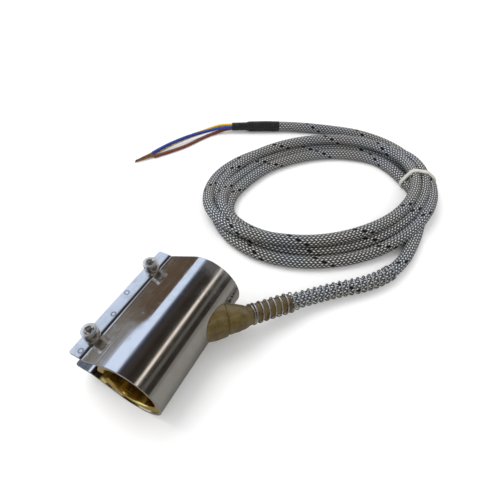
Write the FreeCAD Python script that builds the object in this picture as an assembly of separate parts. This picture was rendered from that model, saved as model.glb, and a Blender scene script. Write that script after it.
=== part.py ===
import FreeCAD, Part
import math
import os

V = FreeCAD.Vector
os.makedirs("parts", exist_ok=True)

# Nozzle band heater with a braided lead, in millimetres.
# +Y runs along the bore, +X is the side the lead leaves, +Z is up.
# The origin is on the bore's axis, at the middle of its length.
# The band lies on its side on the surface, with both clamp screws upright.

# ---- clamp shell -------------------------------------------------------------
BORE_D = 24.0              # nozzle diameter that the band closes on
BAND_LENGTH = 61.0         # along the bore
SHELL_T = 0.8
FLANGE_HALF_GAP = 5.7      # from the bore's mid plane to a flange's inner face
FLANGE_WIDTH = 7.1         # flat part of a flange
FLANGE_BEND_R = 1.2        # small bend where the slope meets a flange
SLOPE_LEAVES_DEG = 118.6   # where the straight slope leaves the round, from the lead's side
LOWER_FLANGE_EXTRA = 1.2   # the lower flange reaches this much further
FLANGE_CORNER_R = 1.0

# ---- sealed brass casing and what it holds -----------------------------------
CASE_T = 0.5
CASE_RECESS = 0.4          # casing ends lie this far inside the shell's ends
CASE_ROLL = 1.0            # folded-over edge between the bore and an end ring
SLIT_WIDTH = 5.0           # slit of the C-shaped casing
LAYER_GAP = 0.05           # between stacked layers
MICA_T = 0.35
FORMER_T = 0.4
RIBBON_T = 0.15
RIBBON_W = 2.0
RIBBON_TURNS = 16
RIBBON_GAP = 0.14          # the flat ribbon stands off the curved former
RIBBON_FREE = 0.11         # between the ribbon and the outer mica
END_GAP = 1.2              # from an end ring to the mica stack
SLIT_GAP = 1.5             # from a slit wall to the mica stack

# ---- clamp screws and nuts (M4) ----------------------------------------------
SCREW_D = 4.0
SCREW_LENGTH = 20.0
SCREW_FROM_EDGE = 3.0      # screw axis to the upper flange's edge
SCREW_FROM_END = 10.3      # screw axis to the shell's nearer end
SCREW_POINT = 0.5          # chamfer at the screw's point
HEAD_D = 7.0
HEAD_H = 4.0
HEAD_ROUND = 0.35
SOCKET_AF = 3.0
SOCKET_DEPTH = 2.0
FLANGE_HOLE_D = 4.5
NUT_AF = 7.0
NUT_H = 3.2
NUT_FREE = 0.075           # radial running clearance on the screw

# ---- lead exit ---------------------------------------------------------------
EXIT_FROM_END = 18.0       # lead exit to the shell's far end
NIPPLE_OD = 6.4
NIPPLE_T = 0.7
NIPPLE_REACH = 1.4         # stands this far out of the shell
NIPPLE_GAP = 0.05
STUB_D = 1.6               # insulated cores inside the sleeve
STUB_SPREAD = 1.25         # their distance from the lead's centre line
STUB_SIDES = 10
CRIMP_T = 0.15
CRIMP_LENGTH = 2.2
SLEEVE_WALL = 1.1
SLEEVE_END_D = 8.6         # sleeve where it runs under the spring
SLEEVE_SEAT = 0.05
SLEEVE_SIDES = 28

# ---- lead --------------------------------------------------------------------
CABLE_D = 6.8
CORE_D = 2.2
SPRING_WIRE_D = 0.7
SPRING_TURNS = 25
SPRING_FREE = 0.22         # radial clearance over the sleeve and the cable
SPRING_CLOSED_TURNS = 1    # close turns at each end
SPRING_LENGTH = 80.2
SPRING_ON_SLEEVE = 21.2    # length over the insulating sleeve, before it draws in
SPRING_TAPER = 5.0
SPRING_STEPS = 12          # straight steps a turn
SPRING_SIDES = 6           # sides of the wire
SHRINK_LENGTH = 35.0
SHRINK_T = 0.3
SHRINK_TAIL_D = 5.8
CORE_SPREAD = 1.3          # cores lie this far from the lead's centre line
CORE_STRAIGHT = 1.2        # cores run straight this far past the heat-shrink
SHRINK_OVERLAP = 21.0      # length of cable inside the heat-shrink
TIP_D = 4.0                # bare strands of the three cores twisted together
TIP_END_D = 1.4
COIL_CENTRE = (18.5, 130.5)
COIL_TURN_DEG = 47.0
COIL_SEMI = (76.0, 60.5)   # outer half lengths of the oval coil
COIL_BUNDLE = (20.5, 26.5) # bundle widths along those two directions
COIL_HEIGHT = 14.0
COIL_ROUND = 3.2
TIE_STATION_DEG = -16.0    # on the oval, from its long half length
TIE_T = 1.0
TIE_W = 2.6
TIE_GAP = 0.15
TIE_ROUND = 2.8
TIE_LOCK = (4.6, 4.4, 3.4) # locking head: along the strands, across, high

# ---- derived sizes -----------------------------------------------------------
# Layers from the bore outwards, each by its inner radius.
BORE_R = BORE_D / 2
INNER_MICA_R = BORE_R + CASE_T + LAYER_GAP
LOW_RIBBON_R = INNER_MICA_R + MICA_T + LAYER_GAP
FORMER_R = LOW_RIBBON_R + RIBBON_T + RIBBON_GAP
TOP_RIBBON_R = FORMER_R + FORMER_T + LAYER_GAP
OUTER_MICA_R = TOP_RIBBON_R + RIBBON_T + RIBBON_FREE
RING_R = OUTER_MICA_R + MICA_T + LAYER_GAP
JACKET_IN_R = RING_R + LAYER_GAP
JACKET_OUT_R = JACKET_IN_R + CASE_T
SHELL_IN_R = JACKET_OUT_R + LAYER_GAP
SHELL_R = SHELL_IN_R + SHELL_T

FLOOR_Z = -SHELL_R
FLANGE_TOP = FLANGE_HALF_GAP + SHELL_T
SLOPE_DEG = SLOPE_LEAVES_DEG - 90
SLOPE_FOOT_X = (SHELL_R / math.cos(math.radians(SLOPE_DEG)) - FLANGE_TOP) / math.tan(math.radians(SLOPE_DEG))
BEND_X = SLOPE_FOOT_X + FLANGE_BEND_R * math.tan(math.radians(SLOPE_DEG / 2))
FLANGE_REACH = BEND_X + FLANGE_WIDTH
SCREW_X = SCREW_FROM_EDGE - FLANGE_REACH
SCREW_YS = {"near": SCREW_FROM_END - BAND_LENGTH / 2, "far": BAND_LENGTH / 2 - SCREW_FROM_END}
EXIT_Y = BAND_LENGTH / 2 - EXIT_FROM_END
CASE_LENGTH = BAND_LENGTH - 2 * CASE_RECESS
STACK_LENGTH = CASE_LENGTH - 2 * (CASE_T + END_GAP)
FORMER_LENGTH = STACK_LENGTH - 4 * RIBBON_T
STACK_SLIT = SLIT_WIDTH + 2 * (CASE_T + SLIT_GAP)

CABLE_R = CABLE_D / 2
SHRINK_R = CABLE_R + LAYER_GAP + SHRINK_T

# The sleeve's wide mouth: centres from the point where the exit's axis leaves the shell, and radii.
BOSS_STATIONS = (
    ((-7.75, -5.7, 0.0), 7.8), ((-3.55, -1.8, 0.0), 7.7), ((0.75, 2.5, -0.25), 7.0),
    ((4.9, 6.4, -0.95), 6.3), ((7.3, 8.7, -1.6), 4.5),
)
# Centre lines in x, y and height above the surface, from the shell outwards.
# The points are chosen by hand.
SLEEVE_MIDDLE = (24.8, 24.8, 12.3)
LEAD_ROUTE = (
    (36.7, 41.6, 8.3), (44.4, 51.5, 6.4), (54.4, 62.2, 5.5), (65.4, 72.2, 4.9), (73.4, 83.0, 4.4),
    (78.1, 94.8, 3.9), (79.9, 107.0, 3.5), (80.3, 118.6, 3.5),
)
TAIL_ROUTE = (
    (50.5, 196.8, 3.5), (34.5, 202.2, 3.5), (17.5, 203.0, 3.5), (0.5, 199.2, 3.5), (-18.0, 193.4, 3.6),
    (-36.6, 185.2, 4.0), (-54.6, 174.6, 4.2),
)
CORE_ROUTES = {
    "yellow": ((-76.6, 166.0, 3.4), (-83.2, 159.0, 1.6), (-89.2, 149.2, 1.2), (-94.6, 137.6, 1.2),
               (-98.8, 125.6, 1.2), (-101.6, 114.6, 1.3)),
    "blue": ((-75.6, 160.0, 4.0), (-82.6, 152.0, 3.6), (-88.6, 143.0, 3.7), (-93.6, 132.4, 3.7),
             (-97.4, 122.4, 3.6), (-99.9, 113.8, 3.2)),
    "brown": ((-73.6, 162.0, 1.6), (-78.2, 155.0, 1.2), (-82.0, 146.0, 1.2), (-85.4, 135.6, 1.2),
              (-90.6, 125.4, 1.2), (-98.4, 113.2, 1.3)),
}
CORE_ANGLES = {"yellow": 30, "blue": 150, "brown": 270}
TIP_ROUTE = ((-99.8, 114.2, 2.1), (-107.3, 102.1, 0.9))


# ---- helpers -----------------------------------------------------------------
def save(shape, node):
    """Write one sub-part and report what it is made of."""
    shape.exportStep("parts/%s.step" % node)
    print("%-22s solids %d volume %9.2f valid %s"
          % (node, len(shape.Solids), shape.Volume, shape.isValid()))


def raised(point):
    """Turn a height above the surface into row coordinates."""
    return V(point[0], point[1], FLOOR_Z + point[2])


def arc(centre, radius, start_deg, end_deg, y):
    """Arc in the plane across the bore, from one angle to another, measured from +X towards +Z."""
    points = []
    for angle in (start_deg, (start_deg + end_deg) / 2, end_deg):
        a = math.radians(angle)
        points.append(V(centre[0] + radius * math.cos(a), y, centre[1] + radius * math.sin(a)))
    return Part.Arc(*points).toShape()


def line(x1, z1, x2, z2, y):
    return Part.makeLine(V(x1, y, z1), V(x2, y, z2))


def c_sheet(inner_r, thickness, length, slit):
    """Rolled sheet round the bore, open by the slit's width on the flange side."""
    half = length / 2
    outer = Part.makeCylinder(inner_r + thickness, length, V(0, -half, 0), V(0, 1, 0))
    sheet = outer.cut(Part.makeCylinder(inner_r, length, V(0, -half, 0), V(0, 1, 0)))
    reach = 2 * SHELL_R
    return sheet.cut(Part.makeBox(reach, length, slit, V(-reach, -half, -slit / 2)))


def route_edges(points, label):
    """Straight runs joined by tangent arcs, each as large as its two runs allow."""
    edges = []
    radii = []
    start = points[0]
    for before, corner, after in zip(points, points[1:], points[2:]):
        back = (before - corner).normalize()
        ahead = (after - corner).normalize()
        turn = math.pi - back.getAngle(ahead)
        trim = 0.45 * min((before - corner).Length, (after - corner).Length)
        radius = trim / math.tan(turn / 2)
        radii.append(radius)
        enter = corner + back * trim
        leave = corner + ahead * trim
        centre_way = (back + ahead).normalize()
        middle = corner + centre_way * (radius / math.cos(turn / 2) - radius)
        edges.append(Part.LineSegment(start, enter).toShape())
        edges.append(Part.Arc(enter, middle, leave).toShape())
        start = leave
    edges.append(Part.LineSegment(start, points[-1]).toShape())
    if radii:
        print("%s bend radii %s" % (label, " ".join("%.0f" % r for r in radii)))
    return edges


def tube(points, diameter, label):
    """Round tube along a route, checked against its section times its length."""
    path = Part.Wire(route_edges(points, label))
    ring = Part.Wire([Part.makeCircle(diameter / 2, points[0], points[1] - points[0])])
    solid = path.makePipeShell([ring], True, False)
    wanted = math.pi * diameter**2 / 4 * path.Length
    print("%s length %.1f volume ratio %.4f" % (label, path.Length, solid.Volume / wanted))
    return solid, path


def along_at(points, i):
    """Direction of a route at one of its points, halfway between the runs that meet there."""
    direction = V(0, 0, 0)
    if i > 0:
        direction += (points[i] - points[i - 1]).normalize()
    if i < len(points) - 1:
        direction += (points[i + 1] - points[i]).normalize()
    return direction.normalize()


def sideways(along, angle_deg):
    """Unit vector square to a direction; 90 degrees points upwards."""
    side = along.cross(V(0, 0, 1)).normalize()
    up = side.cross(along)
    a = math.radians(angle_deg)
    return side * math.cos(a) + up * math.sin(a)


def offset_points(points, angle_deg, distance):
    """Move a route sideways, square to its own direction."""
    return [p + sideways(along_at(points, i), angle_deg) * distance for i, p in enumerate(points)]


def loft_along(centres, radii, sides):
    """Tapering many-sided body through rings square to its centre line."""
    rings = []
    for i, (centre, radius) in enumerate(zip(centres, radii)):
        along = along_at(centres, i)
        rings.append(Part.makePolygon([centre + sideways(along, 360 * (k % sides) / sides) * radius
                                       for k in range(sides + 1)]))
    return Part.makeLoft(rings, True, True)


# ---- heater band -------------------------------------------------------------
def flange_edges(side, reach, y):
    """Outline of one flange, its small bend and its straight slope; side is 1 above the slit and -1 below."""
    leaves = math.radians(SLOPE_LEAVES_DEG)
    bend_z = FLANGE_TOP + FLANGE_BEND_R
    edges = [line(-reach, side * FLANGE_TOP, -reach, side * FLANGE_HALF_GAP, y)]
    for skin, shell_r, bend_r in ((FLANGE_TOP, SHELL_R, FLANGE_BEND_R),
                                  (FLANGE_HALF_GAP, SHELL_IN_R, FLANGE_BEND_R + SHELL_T)):
        slope_x = -BEND_X - bend_r * math.cos(leaves)
        slope_z = bend_z - bend_r * math.sin(leaves)
        edges.append(line(-reach, side * skin, -BEND_X, side * skin, y))
        edges.append(arc((-BEND_X, side * bend_z), bend_r, -side * 90, side * (SLOPE_LEAVES_DEG - 180), y))
        edges.append(line(slope_x, side * slope_z, shell_r * math.cos(leaves),
                          side * shell_r * math.sin(leaves), y))
    return edges


def clamp_shell():
    """Folded C-shell: a cylinder that runs out on the slit side into two flat flanges."""
    y = -BAND_LENGTH / 2
    edges = [arc((0, 0), r, SLOPE_LEAVES_DEG, -SLOPE_LEAVES_DEG, y) for r in (SHELL_R, SHELL_IN_R)]
    edges += flange_edges(1, FLANGE_REACH, y)
    edges += flange_edges(-1, FLANGE_REACH + LOWER_FLANGE_EXTRA, y)
    profile = Part.Wire(Part.__sortEdges__(edges))
    shell = Part.Face(profile).extrude(V(0, BAND_LENGTH, 0))
    corners = []
    for edge in shell.Edges:
        ends = [v.Point for v in edge.Vertexes]
        upright = len(ends) == 2 and abs(ends[0].x - ends[1].x) < 1e-6 and abs(ends[0].y - ends[1].y) < 1e-6
        if upright and ends[0].x < -(BEND_X + FLANGE_WIDTH / 2):
            corners.append(edge)
    shell = shell.makeFillet(FLANGE_CORNER_R, corners)
    for screw_y in SCREW_YS.values():
        hole = Part.makeCylinder(FLANGE_HOLE_D / 2, 2 * SHELL_R, V(SCREW_X, screw_y, -SHELL_R))
        shell = shell.cut(hole)
    return shell.cut(exit_hole(NIPPLE_OD / 2 + NIPPLE_GAP))


def exit_hole(radius):
    """Round cutter from the bore's axis out through the lead exit."""
    return Part.makeCylinder(radius, 2 * SHELL_R, V(0, EXIT_Y, 0), V(1, 0, 0))


def brass_liner():
    """Bore wall whose ends fold outwards into the two end rings, with folded slit walls."""
    half = CASE_LENGTH / 2
    inner_r = BORE_R + CASE_T
    outline = [(BORE_R, CASE_ROLL - half), (BORE_R + 0.3 * CASE_ROLL, 0.3 * CASE_ROLL - half),
               (BORE_R + CASE_ROLL, -half), (RING_R, -half), (RING_R, CASE_T - half),
               (inner_r, CASE_T - half)]
    mirrored = [(r, -y) for r, y in reversed(outline)]
    points = [V(r, y, 0) for r, y in outline + mirrored]
    liner = Part.Face(Part.makePolygon(points + points[:1])).revolve(V(0, 0, 0), V(0, 1, 0), 360)
    slot = Part.makeBox(2 * SHELL_R, CASE_LENGTH, SLIT_WIDTH, V(-2 * SHELL_R, -half, -SLIT_WIDTH / 2))
    liner = liner.cut(slot)
    long_wall = CASE_LENGTH - 2 * CASE_T
    band = Part.makeCylinder(RING_R, long_wall, V(0, -long_wall / 2, 0), V(0, 1, 0))
    band = band.cut(Part.makeCylinder(BORE_R, long_wall, V(0, -long_wall / 2, 0), V(0, 1, 0)))
    for low_z in (SLIT_WIDTH / 2, -SLIT_WIDTH / 2 - CASE_T):
        wall = Part.makeBox(RING_R, long_wall, CASE_T, V(-RING_R, -long_wall / 2, low_z))
        liner = liner.fuse(wall.common(band))
    return liner.removeSplitter()


def brass_jacket():
    """Outer skin of the sealed casing, with the lead's hole."""
    jacket = c_sheet(JACKET_IN_R, CASE_T, CASE_LENGTH, SLIT_WIDTH)
    return jacket.cut(exit_hole(NIPPLE_OD / 2 - NIPPLE_T))


def mica_sheet(inner_r, holed):
    """Insulating sheet beside the winding."""
    sheet = c_sheet(inner_r, MICA_T, STACK_LENGTH, STACK_SLIT)
    return sheet.cut(exit_hole(NIPPLE_OD / 2 - NIPPLE_T)) if holed else sheet


def winding_former():
    return c_sheet(FORMER_R, FORMER_T, FORMER_LENGTH, STACK_SLIT)


def ribbon_section(angle_deg, former_side, free_side):
    """Ribbon cross-section from the radius and place along the bore of its two faces."""
    a = math.radians(angle_deg)
    out = V(math.cos(a), 0, math.sin(a))
    side = V(-math.sin(a), 0, math.cos(a)) * (RIBBON_W / 2)
    low = out * former_side[0] + V(0, former_side[1], 0)
    high = out * free_side[0] + V(0, free_side[1], 0)
    return Part.makePolygon([low - side, low + side, high + side, high - side, low - side])


def ribbon_winding():
    """Flat resistance ribbon wound end to end: straight outside the former, drifting inside it."""
    slit_deg = math.degrees(math.asin((STACK_SLIT / 2 + RIBBON_W) / FORMER_R))
    step = (360 - 2 * slit_deg) / RIBBON_TURNS
    half = STACK_LENGTH / 2
    fold = half - RIBBON_T
    fold_r = (TOP_RIBBON_R + LOW_RIBBON_R + RIBBON_T) / 2
    drift_steps = 6
    sections = []
    for turn in range(RIBBON_TURNS + 1):
        angle = slit_deg - 180 + turn * step
        for end in (-1, 0, 1):
            sections.append(ribbon_section(angle, (TOP_RIBBON_R, end * fold), (TOP_RIBBON_R + RIBBON_T, end * half)))
        if turn == RIBBON_TURNS:
            break
        sections.append(ribbon_section(angle, (fold_r, fold), (fold_r, half)))
        for i in range(drift_steps + 1):
            share = 1 - 2 * i / drift_steps
            drifted = angle + step * i / drift_steps
            sections.append(ribbon_section(drifted, (LOW_RIBBON_R + RIBBON_T, share * fold),
                                           (LOW_RIBBON_R, share * half)))
        sections.append(ribbon_section(angle + step, (fold_r, -fold), (fold_r, -half)))
    return Part.makeLoft(sections, True, True)


# ---- clamp hardware ----------------------------------------------------------
def hexagon(across_flats, height, centre, turn_deg=0):
    """Hexagonal prism standing on its centre point, flats facing +X and -X."""
    points = []
    for i in range(7):
        a = math.radians(30 + 60 * i + turn_deg)
        radius = across_flats / math.sqrt(3)
        points.append(centre + V(radius * math.cos(a), radius * math.sin(a), 0))
    return Part.Face(Part.makePolygon(points)).extrude(V(0, 0, height))


def clamp_screw(y):
    """Hexagon socket cap screw whose head bears on the upper flange."""
    seat = V(SCREW_X, y, FLANGE_TOP)
    head = Part.makeCylinder(HEAD_D / 2, HEAD_H, seat)
    rim = [e for e in head.Edges if len(e.Vertexes) == 1 and e.Vertexes[0].Z > FLANGE_TOP + HEAD_H / 2]
    head = head.makeChamfer(HEAD_ROUND, rim)
    socket_floor = seat + V(0, 0, HEAD_H - SOCKET_DEPTH)
    head = head.cut(hexagon(SOCKET_AF, SOCKET_DEPTH, socket_floor, 12))
    cone_depth = SOCKET_AF / 4
    head = head.cut(Part.makeCone(0, SOCKET_AF / 2, cone_depth, socket_floor - V(0, 0, cone_depth)))
    shank = Part.makeCylinder(SCREW_D / 2, SCREW_LENGTH - SCREW_POINT, seat, V(0, 0, -1))
    point_z = seat - V(0, 0, SCREW_LENGTH - SCREW_POINT)
    point = Part.makeCone(SCREW_D / 2, SCREW_D / 2 - SCREW_POINT, SCREW_POINT, point_z, V(0, 0, -1))
    return head.fuse([shank, point]).removeSplitter()


def clamp_nut(y):
    """Hexagon nut under the lower flange, chamfered on its free side."""
    low = V(SCREW_X, y, -FLANGE_TOP - NUT_H)
    nut = hexagon(NUT_AF, NUT_H, low)
    corner_r = NUT_AF / math.sqrt(3)
    chamfer = (corner_r - NUT_AF / 2) * 1.2
    cone = Part.makeCone(NUT_AF / 2, NUT_AF / 2 + chamfer * 2, chamfer * 1.15, low)
    body = Part.makeCylinder(2 * corner_r, NUT_H - chamfer * 1.15, low + V(0, 0, chamfer * 1.15))
    nut = nut.common(cone.fuse(body))
    return nut.cut(Part.makeCylinder(SCREW_D / 2 + NUT_FREE, NUT_H, low))


# ---- lead exit ---------------------------------------------------------------
def exit_nipple():
    """Short tube that stands on the brass jacket and passes through the shell."""
    start = JACKET_OUT_R
    length = SHELL_R + NIPPLE_REACH - start
    nipple = Part.makeCylinder(NIPPLE_OD / 2, length, V(start, EXIT_Y, 0), V(1, 0, 0))
    bore = Part.makeCylinder(NIPPLE_OD / 2 - NIPPLE_T, length, V(start, EXIT_Y, 0), V(1, 0, 0))
    seat = Part.makeCylinder(JACKET_OUT_R, BAND_LENGTH, V(0, -BAND_LENGTH / 2, 0), V(0, 1, 0))
    base = Part.makeCylinder(NIPPLE_OD / 2, 1, V(start - 1, EXIT_Y, 0), V(1, 0, 0))
    base = base.cut(Part.makeCylinder(NIPPLE_OD / 2 - NIPPLE_T, 1, V(start - 1, EXIT_Y, 0), V(1, 0, 0)))
    return nipple.cut(bore).fuse(base).cut(seat).removeSplitter()


def sleeve_points():
    """Centre line of the sleeve's narrow part, which ends in line with the lead."""
    start = raised(LEAD_ROUTE[0])
    back = (start - raised(LEAD_ROUTE[1])).normalize()
    return [raised(SLEEVE_MIDDLE), start + back * 9.6, start]


def insulating_sleeve():
    """Varnished fibre sleeve: a wide mouth round the exit that narrows onto the lead."""
    exit_point = V(SHELL_R, EXIT_Y, 0)
    centres = [exit_point + V(*offset) for offset, r in BOSS_STATIONS] + sleeve_points()
    radii = [r for offset, r in BOSS_STATIONS] + [SLEEVE_END_D / 2] * 3
    outer = loft_along(centres, radii, SLEEVE_SIDES)
    centres[-1] = centres[-1] + (centres[-1] - centres[-2]) * 0.1
    centres[0] = centres[0] - (centres[1] - centres[0]) * 0.1
    inner = loft_along(centres, [r - SLEEVE_WALL for r in radii], SLEEVE_SIDES)
    sleeve = outer.cut(inner)
    shell_space = Part.makeCylinder(SHELL_R + SLEEVE_SEAT, 2 * BAND_LENGTH, V(0, -BAND_LENGTH, 0), V(0, 1, 0))
    sleeve = sleeve.cut(shell_space)
    return max(sleeve.Solids, key=lambda s: s.Volume)


def stub_line(angle_deg):
    """Route of one insulated core, beside the middle of the exit and of the sleeve."""
    middle = [V(OUTER_MICA_R + MICA_T, EXIT_Y, 0), V(SHELL_R + NIPPLE_REACH + STUB_D / 2, EXIT_Y, 0)]
    return offset_points(middle + sleeve_points(), angle_deg, STUB_SPREAD)


def core_stub(angle_deg):
    """Insulated core from the exit, through the sleeve, to the cable's end."""
    points = stub_line(angle_deg)
    return loft_along(points, [STUB_D / 2] * len(points), STUB_SIDES)


def stub_crimp(angle_deg):
    """Crimped tube that joins a winding end to its core, round the core at the exit."""
    points = stub_line(angle_deg)
    ring = Part.makeCylinder(STUB_D / 2 + CRIMP_T, CRIMP_LENGTH, points[0], points[1] - points[0])
    return ring.cut(core_stub(angle_deg))


# ---- lead --------------------------------------------------------------------
def spring_centre(stations, share):
    """Point and direction on the spring's bowed axis, from evenly spaced stations."""
    place = share * (len(stations) - 1)
    k = min(int(place), len(stations) - 2)
    centre = stations[k] + (stations[k + 1] - stations[k]) * (place - k)
    return centre, (stations[min(k + 8, len(stations) - 1)] - stations[max(k - 8, 0)]).normalize()


def spring_travel(turn):
    """Distance along the axis after some turns; the end turns are close wound."""
    close_pitch = SPRING_WIRE_D * 1.15
    open_turns = SPRING_TURNS - 2 * SPRING_CLOSED_TURNS
    open_pitch = (SPRING_LENGTH - 2 * SPRING_CLOSED_TURNS * close_pitch) / open_turns
    first = min(turn, SPRING_CLOSED_TURNS)
    last = max(0.0, turn - SPRING_TURNS + SPRING_CLOSED_TURNS)
    return (first + last) * close_pitch + (turn - first - last) * open_pitch


def spring_radius(travel):
    """Coil radius: wide over the sleeve, then drawn in onto the cable."""
    wire_r = SPRING_WIRE_D / 2
    wide_r = SLEEVE_END_D / 2 + SPRING_FREE + wire_r
    slim_r = CABLE_R + SPRING_FREE + wire_r
    share = min(1.0, max(0.0, (travel - SPRING_ON_SLEEVE) / SPRING_TAPER))
    return wide_r + (slim_r - wide_r) * share * share * (3 - 2 * share)


def strain_spring(path):
    """Wire wound in a helix that follows the bowed lead, over the sleeve's end and the cable."""
    stations = path.discretize(Number=400)
    centres = []
    for i in range(SPRING_TURNS * SPRING_STEPS + 1):
        turn = i / SPRING_STEPS
        travel = spring_travel(turn)
        centre, along = spring_centre(stations, travel / path.Length)
        centres.append(centre + sideways(along, 360 * turn) * spring_radius(travel))
    rings = []
    for i, centre in enumerate(centres):
        along = along_at(centres, i)
        axis_point = spring_centre(stations, spring_travel(i / SPRING_STEPS) / path.Length)[0]
        out = centre - axis_point
        out = (out - along * out.dot(along)).normalize()
        other = along.cross(out)
        corners = []
        for k in range(SPRING_SIDES + 1):
            a = 2 * math.pi * (k % SPRING_SIDES) / SPRING_SIDES
            corners.append(centre + (out * math.cos(a) + other * math.sin(a)) * (SPRING_WIRE_D / 2))
        rings.append(Part.makePolygon(corners))
    return Part.makeLoft(rings, True, True)


def oval(semi_x, semi_y, z):
    """Closed oval of the coil in the surface's plane, at one height."""
    ellipse = Part.Ellipse(V(0, 0, 0), semi_x, semi_y).toShape()
    ellipse.rotate(V(0, 0, 0), V(0, 0, 1), COIL_TURN_DEG)
    ellipse.translate(V(COIL_CENTRE[0], COIL_CENTRE[1], z))
    return Part.Wire([ellipse])


def tie_frame():
    """Middle of the bundle at the tie, the directions across and along it, and its width there."""
    t = math.radians(TIE_STATION_DEG)
    turn = math.radians(COIL_TURN_DEG)
    ends = []
    for shrink in (0, 1):
        u = (COIL_SEMI[0] - shrink * COIL_BUNDLE[0]) * math.cos(t)
        w = (COIL_SEMI[1] - shrink * COIL_BUNDLE[1]) * math.sin(t)
        x = COIL_CENTRE[0] + u * math.cos(turn) - w * math.sin(turn)
        y = COIL_CENTRE[1] + u * math.sin(turn) + w * math.cos(turn)
        ends.append(V(x, y, FLOOR_Z + COIL_HEIGHT / 2))
    across = (ends[0] - ends[1]).normalize()
    along = V(0, 0, 1).cross(across)
    return (ends[0] + ends[1]) * 0.5, across, along, (ends[0] - ends[1]).Length


def tie_block(width, height, depth, rounding):
    """Rounded block across the bundle at the tie."""
    middle, across, along, bundle = tie_frame()
    block = Part.makeBox(width, depth, height, V(-width / 2, -depth / 2, -height / 2))
    block = block.makeFillet(rounding, [e for e in block.Edges if abs(e.tangentAt(e.FirstParameter).y) > 0.9])
    turn = math.degrees(math.atan2(across.y, across.x))
    block.rotate(V(0, 0, 0), V(0, 0, 1), turn)
    block.translate(middle)
    return block


def cable_tie():
    """Band round the bundle with its locking head on the outer side."""
    middle, across, along, bundle = tie_frame()
    outer = tie_block(bundle, COIL_HEIGHT, TIE_W, TIE_ROUND + TIE_T)
    inner = tie_block(bundle - 2 * TIE_T, COIL_HEIGHT - 2 * TIE_T, TIE_W * 2, TIE_ROUND)
    lock = Part.makeBox(TIE_LOCK[1], TIE_LOCK[0], TIE_LOCK[2],
                        V(-TIE_T, -TIE_LOCK[0] / 2, -TIE_LOCK[2] / 2))
    lock = lock.makeFillet(0.5, [e for e in lock.Edges if e.BoundBox.XMin > 0])
    lock.rotate(V(0, 0, 0), V(0, 0, 1), math.degrees(math.atan2(across.y, across.x)))
    lock.translate(middle + across * (bundle / 2))
    return outer.fuse(lock).cut(inner).removeSplitter()


def lead_coil():
    """Outer shape of the tied coil, grooved where the tie sits."""
    levels = ((0, COIL_ROUND), (COIL_ROUND, 0), (COIL_HEIGHT - COIL_ROUND, 0), (COIL_HEIGHT, COIL_ROUND))
    inner_x = COIL_SEMI[0] - COIL_BUNDLE[0]
    inner_y = COIL_SEMI[1] - COIL_BUNDLE[1]
    outer = Part.makeLoft([oval(COIL_SEMI[0] - inset, COIL_SEMI[1] - inset, FLOOR_Z + level)
                           for level, inset in levels], True, True)
    hole = Part.makeLoft([oval(inner_x + inset, inner_y + inset, FLOOR_Z + level)
                          for level, inset in levels], True, True)
    ring = outer.cut(hole)
    middle, across, along, bundle = tie_frame()
    deep = 2 * (TIE_T + TIE_GAP)
    wide = TIE_LOCK[0] + 2 * TIE_GAP
    groove = tie_block(bundle + 4, COIL_HEIGHT + 4, wide, TIE_ROUND)
    core = tie_block(bundle - deep, COIL_HEIGHT - deep, wide + 2, TIE_ROUND)
    return ring.cut(groove.cut(core))


def lead_core(colour, cable_end, along):
    """One insulated core from the cable's end, out of the heat-shrink and along the surface."""
    start = cable_end + sideways(along, CORE_ANGLES[colour]) * CORE_SPREAD
    outside = start + along * (SHRINK_LENGTH - SHRINK_OVERLAP + CORE_STRAIGHT)
    points = [start, outside] + [raised(p) for p in CORE_ROUTES[colour]]
    return tube(points, CORE_D, "core_%s" % colour)[0]


def copper_tip():
    """Bare strands of the three cores twisted into one tapering tip."""
    start, end = [raised(p) for p in TIP_ROUTE]
    return Part.makeCone(TIP_D / 2, TIP_END_D / 2, (end - start).Length, start, end - start)


def heat_shrink(end, before):
    """Shrunk sleeve over the cable's end that steps down onto the cores."""
    along = (end - before).normalize()
    start = end - along * SHRINK_OVERLAP
    step_from = SHRINK_OVERLAP + 0.5
    step_to = step_from + 4.0
    tail_r = SHRINK_TAIL_D / 2
    outline = [(0, SHRINK_R), (step_from, SHRINK_R), (step_to, tail_r), (SHRINK_LENGTH, tail_r)]
    inside = [(s, r - SHRINK_T) for s, r in reversed(outline)]
    points = [V(s, r, 0) for s, r in outline + inside]
    face = Part.Face(Part.makePolygon(points + points[:1]))
    sleeve = face.revolve(V(0, 0, 0), V(1, 0, 0), 360)
    turn = FreeCAD.Rotation(V(1, 0, 0), along)
    sleeve.Placement = FreeCAD.Placement(start, turn)
    return sleeve, start, along


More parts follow.
